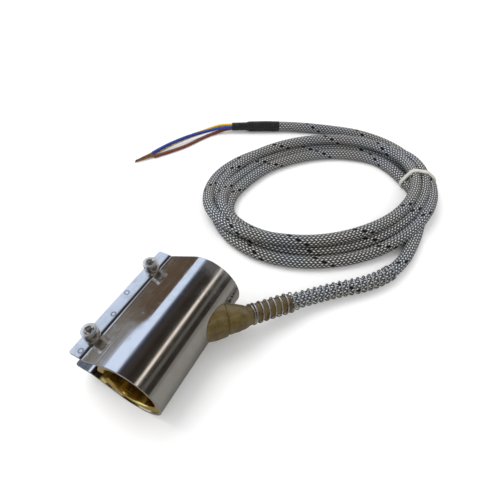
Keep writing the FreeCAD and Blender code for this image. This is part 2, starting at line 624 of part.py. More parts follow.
def main():
    save(clamp_shell(), "clamp_shell")
    save(brass_liner(), "brass_bore_liner")
    save(brass_jacket(), "brass_jacket")
    save(mica_sheet(INNER_MICA_R, False), "inner_mica")
    save(winding_former(), "winding_former")
    save(ribbon_winding(), "heating_ribbon")
    save(mica_sheet(OUTER_MICA_R, True), "outer_mica")
    for place, y in SCREW_YS.items():
        save(clamp_screw(y), "%s_clamp_screw" % place)
        save(clamp_nut(y), "%s_clamp_nut" % place)
    save(exit_nipple(), "exit_nipple")
    save(insulating_sleeve(), "insulating_sleeve")
    for name, angle in (("line", 150), ("neutral", 30), ("earth", 270)):
        save(core_stub(angle), "%s_core_stub" % name)
        if name != "earth":
            save(stub_crimp(angle), "%s_crimp" % name)

    lead_points = [raised(p) for p in LEAD_ROUTE]
    lead, lead_path = tube(lead_points, CABLE_D, "lead_run")
    save(lead, "lead_run")
    spring_path = Part.Wire(route_edges(sleeve_points()[:-1] + lead_points[1:], "spring path"))
    save(strain_spring(spring_path), "strain_relief_spring")
    save(lead_coil(), "lead_coil")
    save(cable_tie(), "cable_tie")
    tail_points = [raised(p) for p in TAIL_ROUTE]
    tail, tail_path = tube(tail_points, CABLE_D, "lead_tail")
    save(tail, "lead_tail")
    shrink, shrink_start, along = heat_shrink(tail_points[-1], tail_points[-2])
    save(shrink, "heat_shrink")
    for colour in CORE_ROUTES:
        save(lead_core(colour, tail_points[-1], along), "core_%s" % colour)
    save(copper_tip(), "copper_tip")


main()
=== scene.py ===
"""Nozzle band heater with a braided lead: its visible pieces, finishes and stage, in metres."""

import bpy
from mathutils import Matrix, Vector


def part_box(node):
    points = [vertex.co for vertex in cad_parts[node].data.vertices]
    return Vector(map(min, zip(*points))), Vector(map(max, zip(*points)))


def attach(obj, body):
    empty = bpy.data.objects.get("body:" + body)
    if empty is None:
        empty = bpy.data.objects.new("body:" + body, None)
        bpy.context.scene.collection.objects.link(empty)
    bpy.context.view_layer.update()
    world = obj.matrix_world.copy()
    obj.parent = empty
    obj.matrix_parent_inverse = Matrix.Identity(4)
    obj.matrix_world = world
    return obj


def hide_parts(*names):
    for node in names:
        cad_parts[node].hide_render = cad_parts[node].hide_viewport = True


bl_info = {
    "name": "Band Heater Builder",
    "version": (1, 0, 0),
    "blender": (4, 5, 0),
    "location": "3D View > Sidebar > Band Heater",
    "description": "Builds the visible pieces and finishes of a nozzle band heater on its CAD frame",
    "category": "Add Mesh",
}

import math
import random

import bmesh
import bpy
from bpy.props import FloatProperty, FloatVectorProperty, IntProperty, PointerProperty
from mathutils import Vector

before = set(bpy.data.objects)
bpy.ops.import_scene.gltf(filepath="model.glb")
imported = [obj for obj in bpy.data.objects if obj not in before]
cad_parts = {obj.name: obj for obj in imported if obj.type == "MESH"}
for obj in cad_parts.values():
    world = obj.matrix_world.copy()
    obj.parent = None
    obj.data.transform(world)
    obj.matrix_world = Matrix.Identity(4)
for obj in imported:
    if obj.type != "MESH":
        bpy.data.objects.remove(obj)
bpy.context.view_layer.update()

MM = 0.001
BODY = "heater"
SURFACE_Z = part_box("clamp_shell")[0].z
SHELL_LOW, SHELL_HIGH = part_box("clamp_shell")

# Centre lines in millimetres: x, y and height above the surface, from the shell outwards.
BOSS_STATIONS = (
    ((8.0, 6.8, 15.75), 7.9), ((12.2, 10.7, 15.75), 7.8), ((16.5, 15.0, 15.5), 7.2),
    ((20.6, 18.9, 14.7), 6.5), ((22.7, 21.2, 13.9), 5.7), ((23.8, 22.9, 13.1), 4.7),
)
SLEEVE_MIDDLE = (24.8, 24.8, 12.3)
LEAD_ROUTE = (
    (36.7, 41.6, 8.3), (44.4, 51.5, 6.4), (54.4, 62.2, 5.5), (65.4, 72.2, 4.9), (73.4, 83.0, 4.4),
    (78.1, 94.8, 3.9), (79.9, 107.0, 3.5), (80.3, 118.6, 3.5),
)
UNDER_COIL = ((79.8, 131.0, 3.5), (77.2, 143.0, 3.5), (72.2, 154.0, 3.5), (66.0, 163.6, 3.5))
TAIL_ROUTE = (
    (50.5, 196.8, 3.5), (34.5, 202.2, 3.5), (17.5, 203.0, 3.5), (0.5, 199.2, 3.5), (-18.0, 193.4, 3.6),
    (-36.6, 185.2, 4.0), (-54.6, 174.6, 4.2),
)
CORE_ROUTES = {
    "yellow": ((-76.6, 166.0, 3.4), (-83.2, 159.0, 1.6), (-89.2, 149.2, 1.2), (-94.6, 137.6, 1.2),
               (-98.8, 125.6, 1.2), (-101.6, 114.6, 1.3)),
    "blue": ((-75.6, 160.0, 4.0), (-82.6, 152.0, 3.6), (-88.6, 143.0, 3.7), (-93.6, 132.4, 3.7),
             (-97.4, 122.4, 3.6), (-99.9, 113.8, 3.2)),
    "brown": ((-73.6, 162.0, 1.6), (-78.2, 155.0, 1.2), (-82.0, 146.0, 1.2), (-85.4, 135.6, 1.2),
              (-90.6, 125.4, 1.2), (-98.4, 113.2, 1.3)),
}
CORE_ANGLES = {"yellow": 30, "blue": 150, "brown": 270}
TIP_ROUTE = ((-99.8, 114.2, 2.1), (-107.3, 102.1, 0.9))

# The tied coil: an oval bundle. Each turn lists how far in from the outer edge it lies, and how
# high, at eight places round the oval: right, far right, far, far left, left, near left, near, near right.
COIL_CENTRE = (18.5, 130.5)
COIL_TURN_DEG = 47.0
COIL_SEMI = (76.0, 60.5)
COIL_BUNDLE = (20.5, 26.5)
COIL_LANES = (
    ((17.1, 3.5), (20.5, 3.5), (22.8, 3.5), (22.0, 3.5), (14.2, 3.5), (17.4, 3.5), (18.6, 3.5), (15.0, 4.0)),
    ((10.4, 3.5), (13.4, 3.5), (16.2, 3.5), (15.6, 3.9), (10.6, 9.3), (11.0, 3.6), (11.6, 3.5), (9.4, 7.2)),
    ((6.9, 9.2), (8.6, 5.4), (9.6, 3.5), (3.6, 4.6), (3.5, 9.2), (11.6, 9.9), (15.0, 9.5), (15.0, 9.6)),
    ((13.4, 9.5), (13.0, 9.5), (13.4, 9.4), (9.8, 7.0), (7.0, 3.5), (3.0, 3.5), (3.5, 3.5), (3.5, 7.4)),
)
LAST_LANE = ((3.5, 3.8), (2.9, 3.5))
COIL_POINTS = 16           # control points a turn

# Sizes in metres: the casing, the screws and nuts, and the nylon tie.
CLEARANCE = 0.00005
SLIT_WIDTH = 0.005
CASING_ROLL = 0.001        # radius of the casing's rolled end rings
HEAD_R = 0.0035
HEAD_H = 0.004
SHANK_R = 0.002
SOCKET_WIDTH = 0.003
THREAD_PITCH = 0.0007
NUT_HALF_FLAT = 0.0035
TURNED_SIDES = 72
FLANGE_HOLE_R = 0.00225
SLEEVE_END_R = 0.0043
SLEEVE_SEAM_GAP = 0.0012
TIE_STATION_DEG = -16.0
TIE_T = 0.0010
TIE_W = 0.0026
TIE_LOCK = (0.0024, 0.0021, 0.0030)   # half width, reach and height of the locking head

# Ring marks on the upper flange, then the strain-relief spring and the flanges, in metres.
FLANGE_MARKS = ((-0.0265, 0.0035), (-0.0242, -0.0081), (-0.0243, -0.0277))
SPRING_LENGTH = 0.0802
SPRING_ON_SLEEVE = 0.0212   # length over the sleeve, before it draws in
LOWER_FLANGE_EXTRA = 0.0012
FLANGE_REACH = -SHELL_LOW.x - LOWER_FLANGE_EXTRA
FLANGE_CORNER = 0.001
FLANGE_STEPS = 8
FLANGE_LEAN = 0.00015      # how far a flange's free edge leans towards the other flange
CREASE_TOP_R = 0.0035      # pressed crease between a flange and the slope
CREASE_R = 0.0008
CREASE_DIP_DEG = 18.0


# ---- sizes and colours a user would change -----------------------------------
class BandSizes(bpy.types.PropertyGroup):
    """Sizes of the clamp shell, its casing and its screws."""
    bore_radius: FloatProperty(name="Bore radius", description="Radius of the closed bore",
                               default=0.012, unit="LENGTH", precision=4)
    shell_radius: FloatProperty(name="Shell radius", description="Outside radius of the clamp shell",
                                default=SHELL_HIGH.z, unit="LENGTH", precision=4)
    shell_sheet: FloatProperty(name="Shell sheet", description="Thickness of the clamp shell's sheet",
                               default=0.0008, unit="LENGTH", precision=4)
    slope_angle: FloatProperty(name="Slope angle", description="Where the straight slope leaves the round",
                               default=118.6, min=95, max=150)


class LeadSizes(bpy.types.PropertyGroup):
    """Sizes of the braided lead and what is on it."""
    cable_radius: FloatProperty(name="Cable radius", description="Radius of the braided lead",
                                default=0.0034, unit="LENGTH", precision=4)
    core_radius: FloatProperty(name="Core radius", description="Radius of one insulated core",
                               default=0.0011, unit="LENGTH", precision=4)
    spring_wire: FloatProperty(name="Spring wire", description="Thickness of the spring's wire",
                               default=0.0007, unit="LENGTH", precision=4)
    spring_turns: IntProperty(name="Spring turns", description="Turns of the strain-relief spring",
                              default=25, min=4, max=60)
    braid_pitch: FloatProperty(name="Braid pitch", description="Length of one crossing in the braid",
                               default=0.0023, unit="LENGTH", precision=4)
    braid_carriers: IntProperty(name="Braid carriers", description="Strands each way round the braid",
                                default=16, min=4, max=32)


class FinishColours(bpy.types.PropertyGroup):
    """Colours of the finishes."""
    shell: FloatVectorProperty(name="Shell", description="Polished steel of the clamp shell",
                               subtype="COLOR", default=(0.62, 0.615, 0.61), min=0, max=1)
    brass: FloatVectorProperty(name="Brass", description="Brass of the sealed casing",
                               subtype="COLOR", default=(0.82, 0.60, 0.17), min=0, max=1)
    screw: FloatVectorProperty(name="Screws", description="Plated steel of the screws and nuts",
                               subtype="COLOR", default=(0.70, 0.67, 0.62), min=0, max=1)
    sleeve: FloatVectorProperty(name="Sleeve", description="Varnished sleeve at the lead's exit",
                                subtype="COLOR", default=(0.062, 0.040, 0.008), min=0, max=1)
    braid: FloatVectorProperty(name="Braid", description="Metal braid of the lead",
                               subtype="COLOR", default=(0.25, 0.255, 0.265), min=0, max=1)
    yellow: FloatVectorProperty(name="Yellow core", description="Earth core",
                                subtype="COLOR", default=(0.95, 0.60, 0.02), min=0, max=1)
    blue: FloatVectorProperty(name="Blue core", description="Neutral core",
                              subtype="COLOR", default=(0.025, 0.055, 0.36), min=0, max=1)
    brown: FloatVectorProperty(name="Brown core", description="Line core",
                               subtype="COLOR", default=(0.22, 0.055, 0.025), min=0, max=1)


class HeaterSettings(bpy.types.PropertyGroup):
    """Everything the heater's operators read."""
    band: PointerProperty(type=BandSizes)
    lead: PointerProperty(type=LeadSizes)
    colours: PointerProperty(type=FinishColours)


# ---- shader helpers ----------------------------------------------------------
class Graph:
    """Short way to add nodes to a material, a world or a node group."""

    def __init__(self, tree):
        self.tree = tree

    def add(self, kind, inputs=None, **settings):
        node = self.tree.nodes.new(kind)
        for name, value in settings.items():
            setattr(node, name, value)
        for socket, value in (inputs or {}).items():
            self.feed(node.inputs[socket], value)
        return node

    def feed(self, socket, value):
        if isinstance(value, bpy.types.NodeSocket):
            self.tree.links.new(value, socket)
        else:
            socket.default_value = value

    def math(self, operation, a, b=0.0, c=0.0, clamp=False):
        node = self.add("ShaderNodeMath", {0: a, 1: b, 2: c}, operation=operation, use_clamp=clamp)
        return node.outputs[0]

    def mix(self, factor, a, b, blend="MIX"):
        node = self.add("ShaderNodeMix", {0: factor, 6: a, 7: b}, data_type="RGBA", blend_type=blend)
        return node.outputs[2]

    def scale(self, value, low, high, to_low=0.0, to_high=1.0):
        node = self.add("ShaderNodeMapRange", {0: value, 1: low, 2: high, 3: to_low, 4: to_high})
        return node.outputs[0]

    def noise(self, vector, scale, detail=3.0, roughness=0.55):
        node = self.add("ShaderNodeTexNoise", {"Vector": vector, "Scale": scale, "Detail": detail,
                                               "Roughness": roughness})
        return node.outputs["Fac"]

    def stretched(self, vector, factors):
        return self.add("ShaderNodeMapping", {"Vector": vector, "Scale": factors}).outputs[0]


def rgba(colour, factor=1.0):
    return (colour[0] * factor, colour[1] * factor, colour[2] * factor, 1.0)


def new_group(name, inputs, outputs):
    """Shader node group with float inputs and named outputs; gives its graph and end nodes."""
    group = bpy.data.node_groups.new(name, "ShaderNodeTree")
    for label, default in inputs:
        socket = group.interface.new_socket(label, in_out="INPUT", socket_type="NodeSocketFloat")
        socket.default_value = default
    for label in outputs:
        group.interface.new_socket(label, in_out="OUTPUT", socket_type="NodeSocketFloat")
    graph = Graph(group)
    return group, graph, graph.add("NodeGroupInput"), graph.add("NodeGroupOutput")


def handled_metal_group():
    """Hairline scratches, smudges and specks on metal that has been handled."""
    name = "Handled Metal"
    if name in bpy.data.node_groups:
        return bpy.data.node_groups[name]
    group, g, given, out = new_group(
        name, (("Scale", 1.0), ("Scratches", 0.5), ("Smudges", 0.5), ("Specks", 0.5)),
        ("Roughness Change", "Stain", "Height"))
    place = g.add("ShaderNodeTexCoord").outputs["Object"]
    sized = g.add("ShaderNodeVectorMath", {0: place, 3: given.outputs["Scale"]},
                  operation="SCALE").outputs[0]
    along = g.noise(g.stretched(sized, (3000.0, 60.0, 3000.0)), 1.0, 2.0)
    across = g.noise(g.stretched(sized, (90.0, 2600.0, 300.0)), 1.0, 2.0)
    lines = g.math("ADD", g.scale(along, 0.58, 0.72), g.scale(across, 0.66, 0.74))
    scratches = g.math("MULTIPLY", lines, given.outputs["Scratches"])
    patches = g.scale(g.noise(sized, 160.0, 4.0), 0.45, 0.7)
    smudges = g.math("MULTIPLY", patches, given.outputs["Smudges"])
    dots = g.add("ShaderNodeTexVoronoi", {"Vector": sized, "Scale": 420.0}).outputs["Distance"]
    rare = g.scale(g.noise(sized, 210.0, 2.0), 0.58, 0.66)
    specks = g.math("MULTIPLY", g.math("MULTIPLY", g.scale(dots, 0.2, 0.1), rare), given.outputs["Specks"])
    g.feed(out.inputs["Roughness Change"], g.math("ADD", g.math("ADD", g.math("MULTIPLY", scratches, 0.12),
                                                                g.math("MULTIPLY", smudges, 0.16)),
                                                  g.math("MULTIPLY", specks, 0.5)))
    g.feed(out.inputs["Stain"], g.math("ADD", g.math("MULTIPLY", smudges, 0.6), specks, clamp=True))
    g.feed(out.inputs["Height"], g.math("SUBTRACT", g.math("MULTIPLY", specks, 0.5), scratches))
    return group


def braid_group():
    """Strands woven two over two round a tube; reads the map laid along and round the tube."""
    name = "Woven Braid"
    if name in bpy.data.node_groups:
        return bpy.data.node_groups[name]
    group, g, given, out = new_group(
        name, (("Pitch", 0.0023), ("Carriers", 16.0), ("Wires", 3.0)),
        ("Height", "Shade", "Glint", "Tracer"))
    spread = g.add("ShaderNodeSeparateXYZ", {0: g.add("ShaderNodeTexCoord").outputs["UV"]})
    along = g.math("DIVIDE", spread.outputs[0], given.outputs["Pitch"])
    wander = g.math("SUBTRACT", g.noise(g.add(
        "ShaderNodeCombineXYZ", {0: g.math("MULTIPLY", along, 0.19)}).outputs[0], 1.0, 1.0), 0.5)
    along = g.math("ADD", along, g.math("MULTIPLY", wander, 0.6))
    round_it = g.math("ADD", g.math("MULTIPLY", spread.outputs[1], given.outputs["Carriers"]),
                      g.math("MULTIPLY", wander, 0.5))
    ways = [g.math("ADD", along, round_it), g.math("SUBTRACT", along, round_it)]
    cells = [g.math("FLOOR", way) for way in ways]
    inside = [g.math("FRACT", way) for way in ways]
    apart = g.math("FLOORED_MODULO", g.math("SUBTRACT", cells[0], cells[1]), 4.0)
    second_on_top = g.math("GREATER_THAN", apart, 1.5)
    first_run = g.math("FLOORED_MODULO", g.math("ADD", g.math("SUBTRACT", ways[1], cells[0]), 1.0), 4.0)
    second_run = g.math("FLOORED_MODULO", g.math(
        "SUBTRACT", g.math("SUBTRACT", ways[0], cells[1]), 2.0), 4.0)
    across = g.add("ShaderNodeMix", {0: second_on_top, 2: inside[0], 3: inside[1]}).outputs[0]
    run = g.add("ShaderNodeMix", {0: second_on_top, 2: first_run, 3: second_run}).outputs[0]
    crown = g.math("SINE", g.math("MULTIPLY", across, math.pi))
    lift = g.math("SINE", g.math("MULTIPLY", run, math.pi / 2))
    wire = g.math("ABSOLUTE", g.math("SINE", g.math("MULTIPLY", g.math(
        "MULTIPLY", across, given.outputs["Wires"]), math.pi)))
    height = g.math("MULTIPLY", g.math("POWER", crown, 0.6), g.math("POWER", lift, 0.4))
    g.feed(out.inputs["Height"], g.math("ADD", height, g.math("MULTIPLY", wire, 0.12)))
    # Painted shade: this mask darkens the low parts between strands and between wires.
    g.feed(out.inputs["Shade"], g.math(
        "MULTIPLY", height, g.math("ADD", g.math("MULTIPLY", wire, 0.35), 0.65)))
    # Painted highlight: this mask marks a near-white glint on each float's crown.
    g.feed(out.inputs["Glint"], g.math("MULTIPLY", g.scale(crown, 0.62, 0.95), g.scale(lift, 0.72, 0.96)))
    mark = g.math("LESS_THAN", g.math("FLOORED_MODULO", cells[0], given.outputs["Carriers"]), 0.5)
    marked = g.math("MULTIPLY", mark, g.math("SUBTRACT", 1.0, second_on_top))
    g.feed(out.inputs["Tracer"], g.math(
        "MULTIPLY", marked, g.scale(g.math("MULTIPLY", crown, lift), 0.02, 0.14)))
    return group


def finish(name, build):
    """Make a finish once and give it back afterwards."""
    if name in bpy.data.materials:
        return bpy.data.materials[name]
    material = bpy.data.materials.new(name)
    material.use_nodes = True
    graph = Graph(material.node_tree)
    surface = next(n for n in material.node_tree.nodes if n.type == "BSDF_PRINCIPLED")
    build(graph, surface)
    return material


def bump(g, surface, height, distance, strength=1.0):
    node = g.add("ShaderNodeBump", {"Height": height, "Distance": distance, "Strength": strength})
    g.feed(surface.inputs["Normal"], node.outputs[0])


def place_of(g):
    return g.add("ShaderNodeTexCoord").outputs["Object"]


def worn_metal(g, surface, colour, stain, roughness, scratches, smudges, specks, depth, scale=1.0):
    """Metal finish built on the handled-metal group."""
    wear = g.add("ShaderNodeGroup", node_tree=handled_metal_group())
    for label, value in (("Scale", scale), ("Scratches", scratches),
                         ("Smudges", smudges), ("Specks", specks)):
        wear.inputs[label].default_value = value
    surface.inputs["Metallic"].default_value = 1.0
    tone = g.mix(wear.outputs["Stain"], rgba(colour), rgba(stain))
    g.feed(surface.inputs["Base Color"], tone)
    g.feed(surface.inputs["Roughness"], g.math(
        "ADD", wear.outputs["Roughness Change"], roughness, clamp=True))
    bump(g, surface, wear.outputs["Height"], depth)
    return tone


def colours():
    return bpy.context.scene.band_heater.colours


def polished_shell():
    def build(g, surface):
        tone = worn_metal(g, surface, colours().shell, (0.40, 0.38, 0.36),
                          0.09, 0.35, 0.5, 0.5, 0.00001)
        spread = g.add("ShaderNodeSeparateXYZ", {0: place_of(g)})
        on_top = g.scale(spread.outputs[2], 0.0050, 0.0055)
        for x, y in FLANGE_MARKS:
            away = g.math("SQRT", g.math(
                "ADD", g.math("POWER", g.math("SUBTRACT", spread.outputs[0], x), 2.0),
                g.math("POWER", g.math("SUBTRACT", spread.outputs[1], y), 2.0)))
            ring = g.scale(g.math("ABSOLUTE", g.math("SUBTRACT", away, 0.0010)), 0.00045, 0.0001)
            tone = g.mix(g.math("MULTIPLY", g.math("MULTIPLY", ring, on_top), 0.75), tone,
                         (0.16, 0.15, 0.15, 1.0))
        g.feed(surface.inputs["Base Color"], tone)
    return finish("polished_shell_steel", build)


def casing_brass():
    def build(g, surface):
        tone = worn_metal(g, surface, colours().brass, (0.50, 0.34, 0.08),
                          0.16, 0.6, 0.8, 0.4, 0.00003)
        spread = g.add("ShaderNodeSeparateXYZ", {0: place_of(g)})
        radius = g.math("SQRT", g.math("ADD", g.math("POWER", spread.outputs[0], 2.0),
                                       g.math("POWER", spread.outputs[2], 2.0)))
        # Painted shade: the bore wall darkens, in noise patches, from its ends towards the middle of the
        # bore, where shade falls.
        in_bore = g.scale(radius, 0.01275, 0.0123)
        depth = g.scale(g.math("ABSOLUTE", spread.outputs[1]), 0.0298, 0.0200)
        painted_bore_shade = g.math("MULTIPLY", in_bore, depth)
        patches = g.scale(g.noise(g.stretched(place_of(g), (1.0, 0.35, 1.0)), 240.0, 3.0),
                          0.35, 0.75, 0.55, 1.0)
        # The dark olive brown is the painted bore shade.
        g.feed(surface.inputs["Base Color"], g.mix(g.math("MULTIPLY", painted_bore_shade, patches), tone,
                                                   (0.30, 0.20, 0.045, 1.0)))
    return finish("heat_tinted_brass", build)


def plated_screw():
    def build(g, surface):
        worn_metal(g, surface, colours().screw, (0.42, 0.34, 0.24), 0.26, 0.2, 0.4, 0.15, 0.000005, 1.6)
    return finish("nickel_plated_steel", build)


def spring_wire_finish():
    def build(g, surface):
        worn_metal(g, surface, (0.74, 0.73, 0.71), (0.35, 0.32, 0.28), 0.16, 0.4, 0.5, 0.3, 0.000006, 2.0)
    return finish("bright_spring_wire", build)


def braid_material(name, colour, dark, pitch, carriers, wires, tracer, glint, depth, metallic, rough):
    """Woven finish: painted shade in the low parts, a painted highlight on the crowns, one strand each way
    in the tracer's colour.
    """
    def build(g, surface):
        weave = g.add("ShaderNodeGroup", node_tree=braid_group())
        for label, value in (("Pitch", pitch), ("Carriers", carriers), ("Wires", wires)):
            weave.inputs[label].default_value = value
        patches = g.scale(g.noise(place_of(g), 26.0, 2.0), 0.40, 0.62)
        warm = (colour[0], colour[1] * 0.93, colour[2] * 0.80)
        cool = (colour[0] * 0.80, colour[1] * 0.90, colour[2])
        base = g.mix(patches, rgba(cool), rgba(warm))
        # Painted shade: the dark colour fills the low parts between strands.
        shaded = g.mix(g.scale(weave.outputs["Shade"], 0.1, 0.75), rgba(dark), base)
        # Painted highlight: near-white on the crowns, less metallic there so it reads pale from any side.
        lit = g.mix(g.math("MULTIPLY", weave.outputs["Glint"], glint), shaded, (0.97, 0.97, 0.95, 1.0))
        g.feed(surface.inputs["Base Color"], g.mix(weave.outputs["Tracer"], lit, rgba(tracer)))
        free = g.math("SUBTRACT", 1.0, g.math("MULTIPLY", weave.outputs["Glint"], 0.6))
        g.feed(surface.inputs["Metallic"], g.math("MULTIPLY", free, metallic))
        g.feed(surface.inputs["Roughness"], g.scale(weave.outputs["Shade"], 0.0, 1.0, rough + 0.25, rough))
        bump(g, surface, weave.outputs["Height"], depth)
    return finish(name, build)


def lead_braid():
    lead = bpy.context.scene.band_heater.lead
    # The near-black colour is painted shade for the braid's low parts; 0.85 is the strength of the painted
    # highlight on its crowns.
    return braid_material("woven_metal_braid", colours().braid, (0.026, 0.024, 0.022), lead.braid_pitch,
                          lead.braid_carriers, 3.0, (0.004, 0.004, 0.005), 0.85, 0.00026, 0.6, 0.28)


def core_finish(colour_name):
    colour = getattr(colours(), colour_name)
    # dark is painted shade for the low parts of the core's fibre weave; 0.06 is the strength of its painted
    # highlight.
    dark = tuple(v * 0.35 for v in colour)
    tracer = (0.10, 0.20, 0.03) if colour_name == "yellow" else tuple(v * 0.6 for v in colour)
    return braid_material("core_%s_fibre" % colour_name, colour, dark, 0.0013, 4.0, 3.0, tracer,
                          0.06, 0.00012, 0.0, 0.5)


def varnished_sleeve():
    def build(g, surface):
        place = place_of(g)
        height = g.add("ShaderNodeSeparateXYZ", {0: place}).outputs[2]
        # Painted shade: the sleeve darkens towards its underside.
        low = g.scale(height, 0.003, -0.006)
        blotches = g.scale(g.noise(place, 220.0, 4.0), 0.35, 0.68)
        # The dark brown is the painted underside shade.
        tone = g.mix(low, rgba(colours().sleeve), (0.05, 0.03, 0.011, 1.0))
        tone = g.mix(g.math("MULTIPLY", blotches, 0.45), tone, (0.17, 0.13, 0.045, 1.0))
        g.feed(surface.inputs["Base Color"], tone)
        fibres = g.noise(g.stretched(place, (1.0, 1.0, 1.0)), 1500.0, 2.0)
        g.feed(surface.inputs["Roughness"], g.scale(blotches, 0.0, 1.0, 0.24, 0.42))
        surface.inputs["Coat Weight"].default_value = 0.5
        surface.inputs["Coat Roughness"].default_value = 0.08
        surface.inputs["Specular IOR Level"].default_value = 0.4
        bump(g, surface, g.math("ADD", fibres, g.math("MULTIPLY", g.noise(place, 320.0, 3.0), 2.5)), 0.0001)
    return finish("varnished_fibre", build)


def shrink_finish():
    def build(g, surface):
        place = place_of(g)
        dust = g.scale(g.noise(place, 600.0, 4.0), 0.5, 0.75)
        g.feed(surface.inputs["Base Color"], g.mix(
            g.math("MULTIPLY", dust, 0.35), (0.012, 0.012, 0.013, 1.0), (0.075, 0.07, 0.066, 1.0)))
        g.feed(surface.inputs["Roughness"], g.scale(dust, 0.0, 1.0, 0.36, 0.6))
        bump(g, surface, g.noise(g.stretched(place, (1.0, 1.0, 1.0)), 420.0, 3.0), 0.0002)
    return finish("black_heat_shrink", build)


def tie_finish():
    def build(g, surface):
        place = place_of(g)
        cloud = g.scale(g.noise(place, 300.0, 3.0), 0.3, 0.7)
        g.feed(surface.inputs["Base Color"], g.mix(cloud, (0.62, 0.62, 0.56, 1.0), (0.50, 0.50, 0.45, 1.0)))
        surface.inputs["Roughness"].default_value = 0.38
        bump(g, surface, g.noise(place, 900.0, 2.0), 0.00004)
    return finish("natural_nylon", build)


def copper_finish():
    def build(g, surface):
        worn_metal(g, surface, (0.78, 0.46, 0.27), (0.45, 0.22, 0.11), 0.26, 0.6, 0.8, 0.3, 0.00001, 2.0)
    return finish("bare_copper", build)


def mica_finish():
    def build(g, surface):
        place = place_of(g)
        flakes = g.add("ShaderNodeTexVoronoi", {"Vector": place, "Scale": 520.0}).outputs["Distance"]
        g.feed(surface.inputs["Base Color"], g.mix(g.scale(flakes, 0.1, 0.6), (0.70, 0.62, 0.44, 1.0),
                                                   (0.50, 0.42, 0.27, 1.0)))
        g.feed(surface.inputs["Roughness"], g.scale(flakes, 0.0, 0.7, 0.3, 0.6))
        bump(g, surface, flakes, 0.00004)
    return finish("pressed_mica", build)


def ribbon_finish():
    def build(g, surface):
        worn_metal(g, surface, (0.50, 0.47, 0.43), (0.30, 0.24, 0.20), 0.32, 0.6, 0.7, 0.3, 0.00001)
    return finish("resistance_ribbon", build)


def stub_finish():
    def build(g, surface):
        place = place_of(g)
        weave = g.noise(place, 2400.0, 2.0)
        g.feed(surface.inputs["Base Color"], g.mix(weave, (0.72, 0.69, 0.60, 1.0), (0.86, 0.83, 0.74, 1.0)))
        surface.inputs["Roughness"].default_value = 0.7
        bump(g, surface, weave, 0.00005)
    return finish("glass_fibre_insulation", build)


# ---- mesh helpers ------------------------------------------------------------
def raised(point):
    """Route point in millimetres above the surface to metres in the frame."""
    return Vector((point[0] * MM, point[1] * MM, SURFACE_Z + point[2] * MM))


def add_piece(name, verts, faces, material, replaces=(), maps=None, sharp_deg=40.0):
    """Make a mesh piece that rides on the heater, with smooth faces and sharp corners kept."""
    mesh = bpy.data.meshes.new(name)
    mesh.from_pydata([tuple(v) for v in verts], [], faces)
    if maps:
        layer = mesh.uv_layers.new(name="Along And Round")
        layer.data.foreach_set("uv", [value for corner in maps for value in corner])
    return add_mesh_piece(name, mesh, material, replaces, sharp_deg)


def add_mesh_piece(name, mesh, material, replaces=(), sharp_deg=40.0, body=BODY):
    mesh.validate()
    mesh.shade_smooth()
    mesh.set_sharp_from_angle(angle=math.radians(sharp_deg))
    mesh.materials.append(material)
    piece = bpy.data.objects.new(name, mesh)
    bpy.context.scene.collection.objects.link(piece)
    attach(piece, body)
    if replaces:
        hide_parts(*replaces)
    return piece


def smooth_line(points, resolution=10):
    """Points along the smooth line that a route's control points give."""
    curve = bpy.data.curves.new("route", "CURVE")
    curve.dimensions = "3D"
    spline = curve.splines.new("NURBS")
    spline.points.add(len(points) - 1)
    for target, point in zip(spline.points, points):
        target.co = (*point, 1.0)
    spline.order_u = 3
    spline.use_endpoint_u = True
    spline.resolution_u = resolution
    holder = bpy.data.objects.new("route", curve)
    bpy.context.scene.collection.objects.link(holder)
    bpy.context.view_layer.update()
    mesh = bpy.data.meshes.new_from_object(holder)
    line = [v.co.copy() for v in mesh.vertices]
    bpy.data.objects.remove(holder)
    bpy.data.curves.remove(curve)
    bpy.data.meshes.remove(mesh)
    return line


def travelled(line):
    """Distance along a line at each of its points."""
    distances = [0.0]
    for a, b in zip(line, line[1:]):
        distances.append(distances[-1] + (b - a).length)
    return distances


def at_distance(line, distances, wanted):
    """Point and direction on a line, a given distance from its start."""
    wanted = min(max(wanted, 0.0), distances[-1])
    low, high = 0, len(distances) - 1
    while high - low > 1:
        middle = (low + high) // 2
        if distances[middle] <= wanted:
            low = middle
        else:
            high = middle
    step = distances[high] - distances[low]
    share = (wanted - distances[low]) / step if step > 0 else 0.0
    ahead = line[min(high + 1, len(line) - 1)] - line[max(low - 1, 0)]
    return line[low].lerp(line[high], share), ahead.normalized()


def side_and_up(along):
    side = along.cross(Vector((0, 0, 1))).normalized()
    return side, side.cross(along).normalized()


def carried_frames(line):
    """Side and up directions carried along a line without twisting."""
    tangents = []
    for i in range(len(line)):
        tangents.append((line[min(i + 1, len(line) - 1)] - line[max(i - 1, 0)]).normalized())
    side, up = side_and_up(tangents[0])
    frames = [(side, up)]
    for before, after in zip(tangents, tangents[1:]):
        turn = before.rotation_difference(after)
        side = turn @ side
        side = (side - after * side.dot(after)).normalized()
        frames.append((side, side.cross(after).normalized()))
    return frames


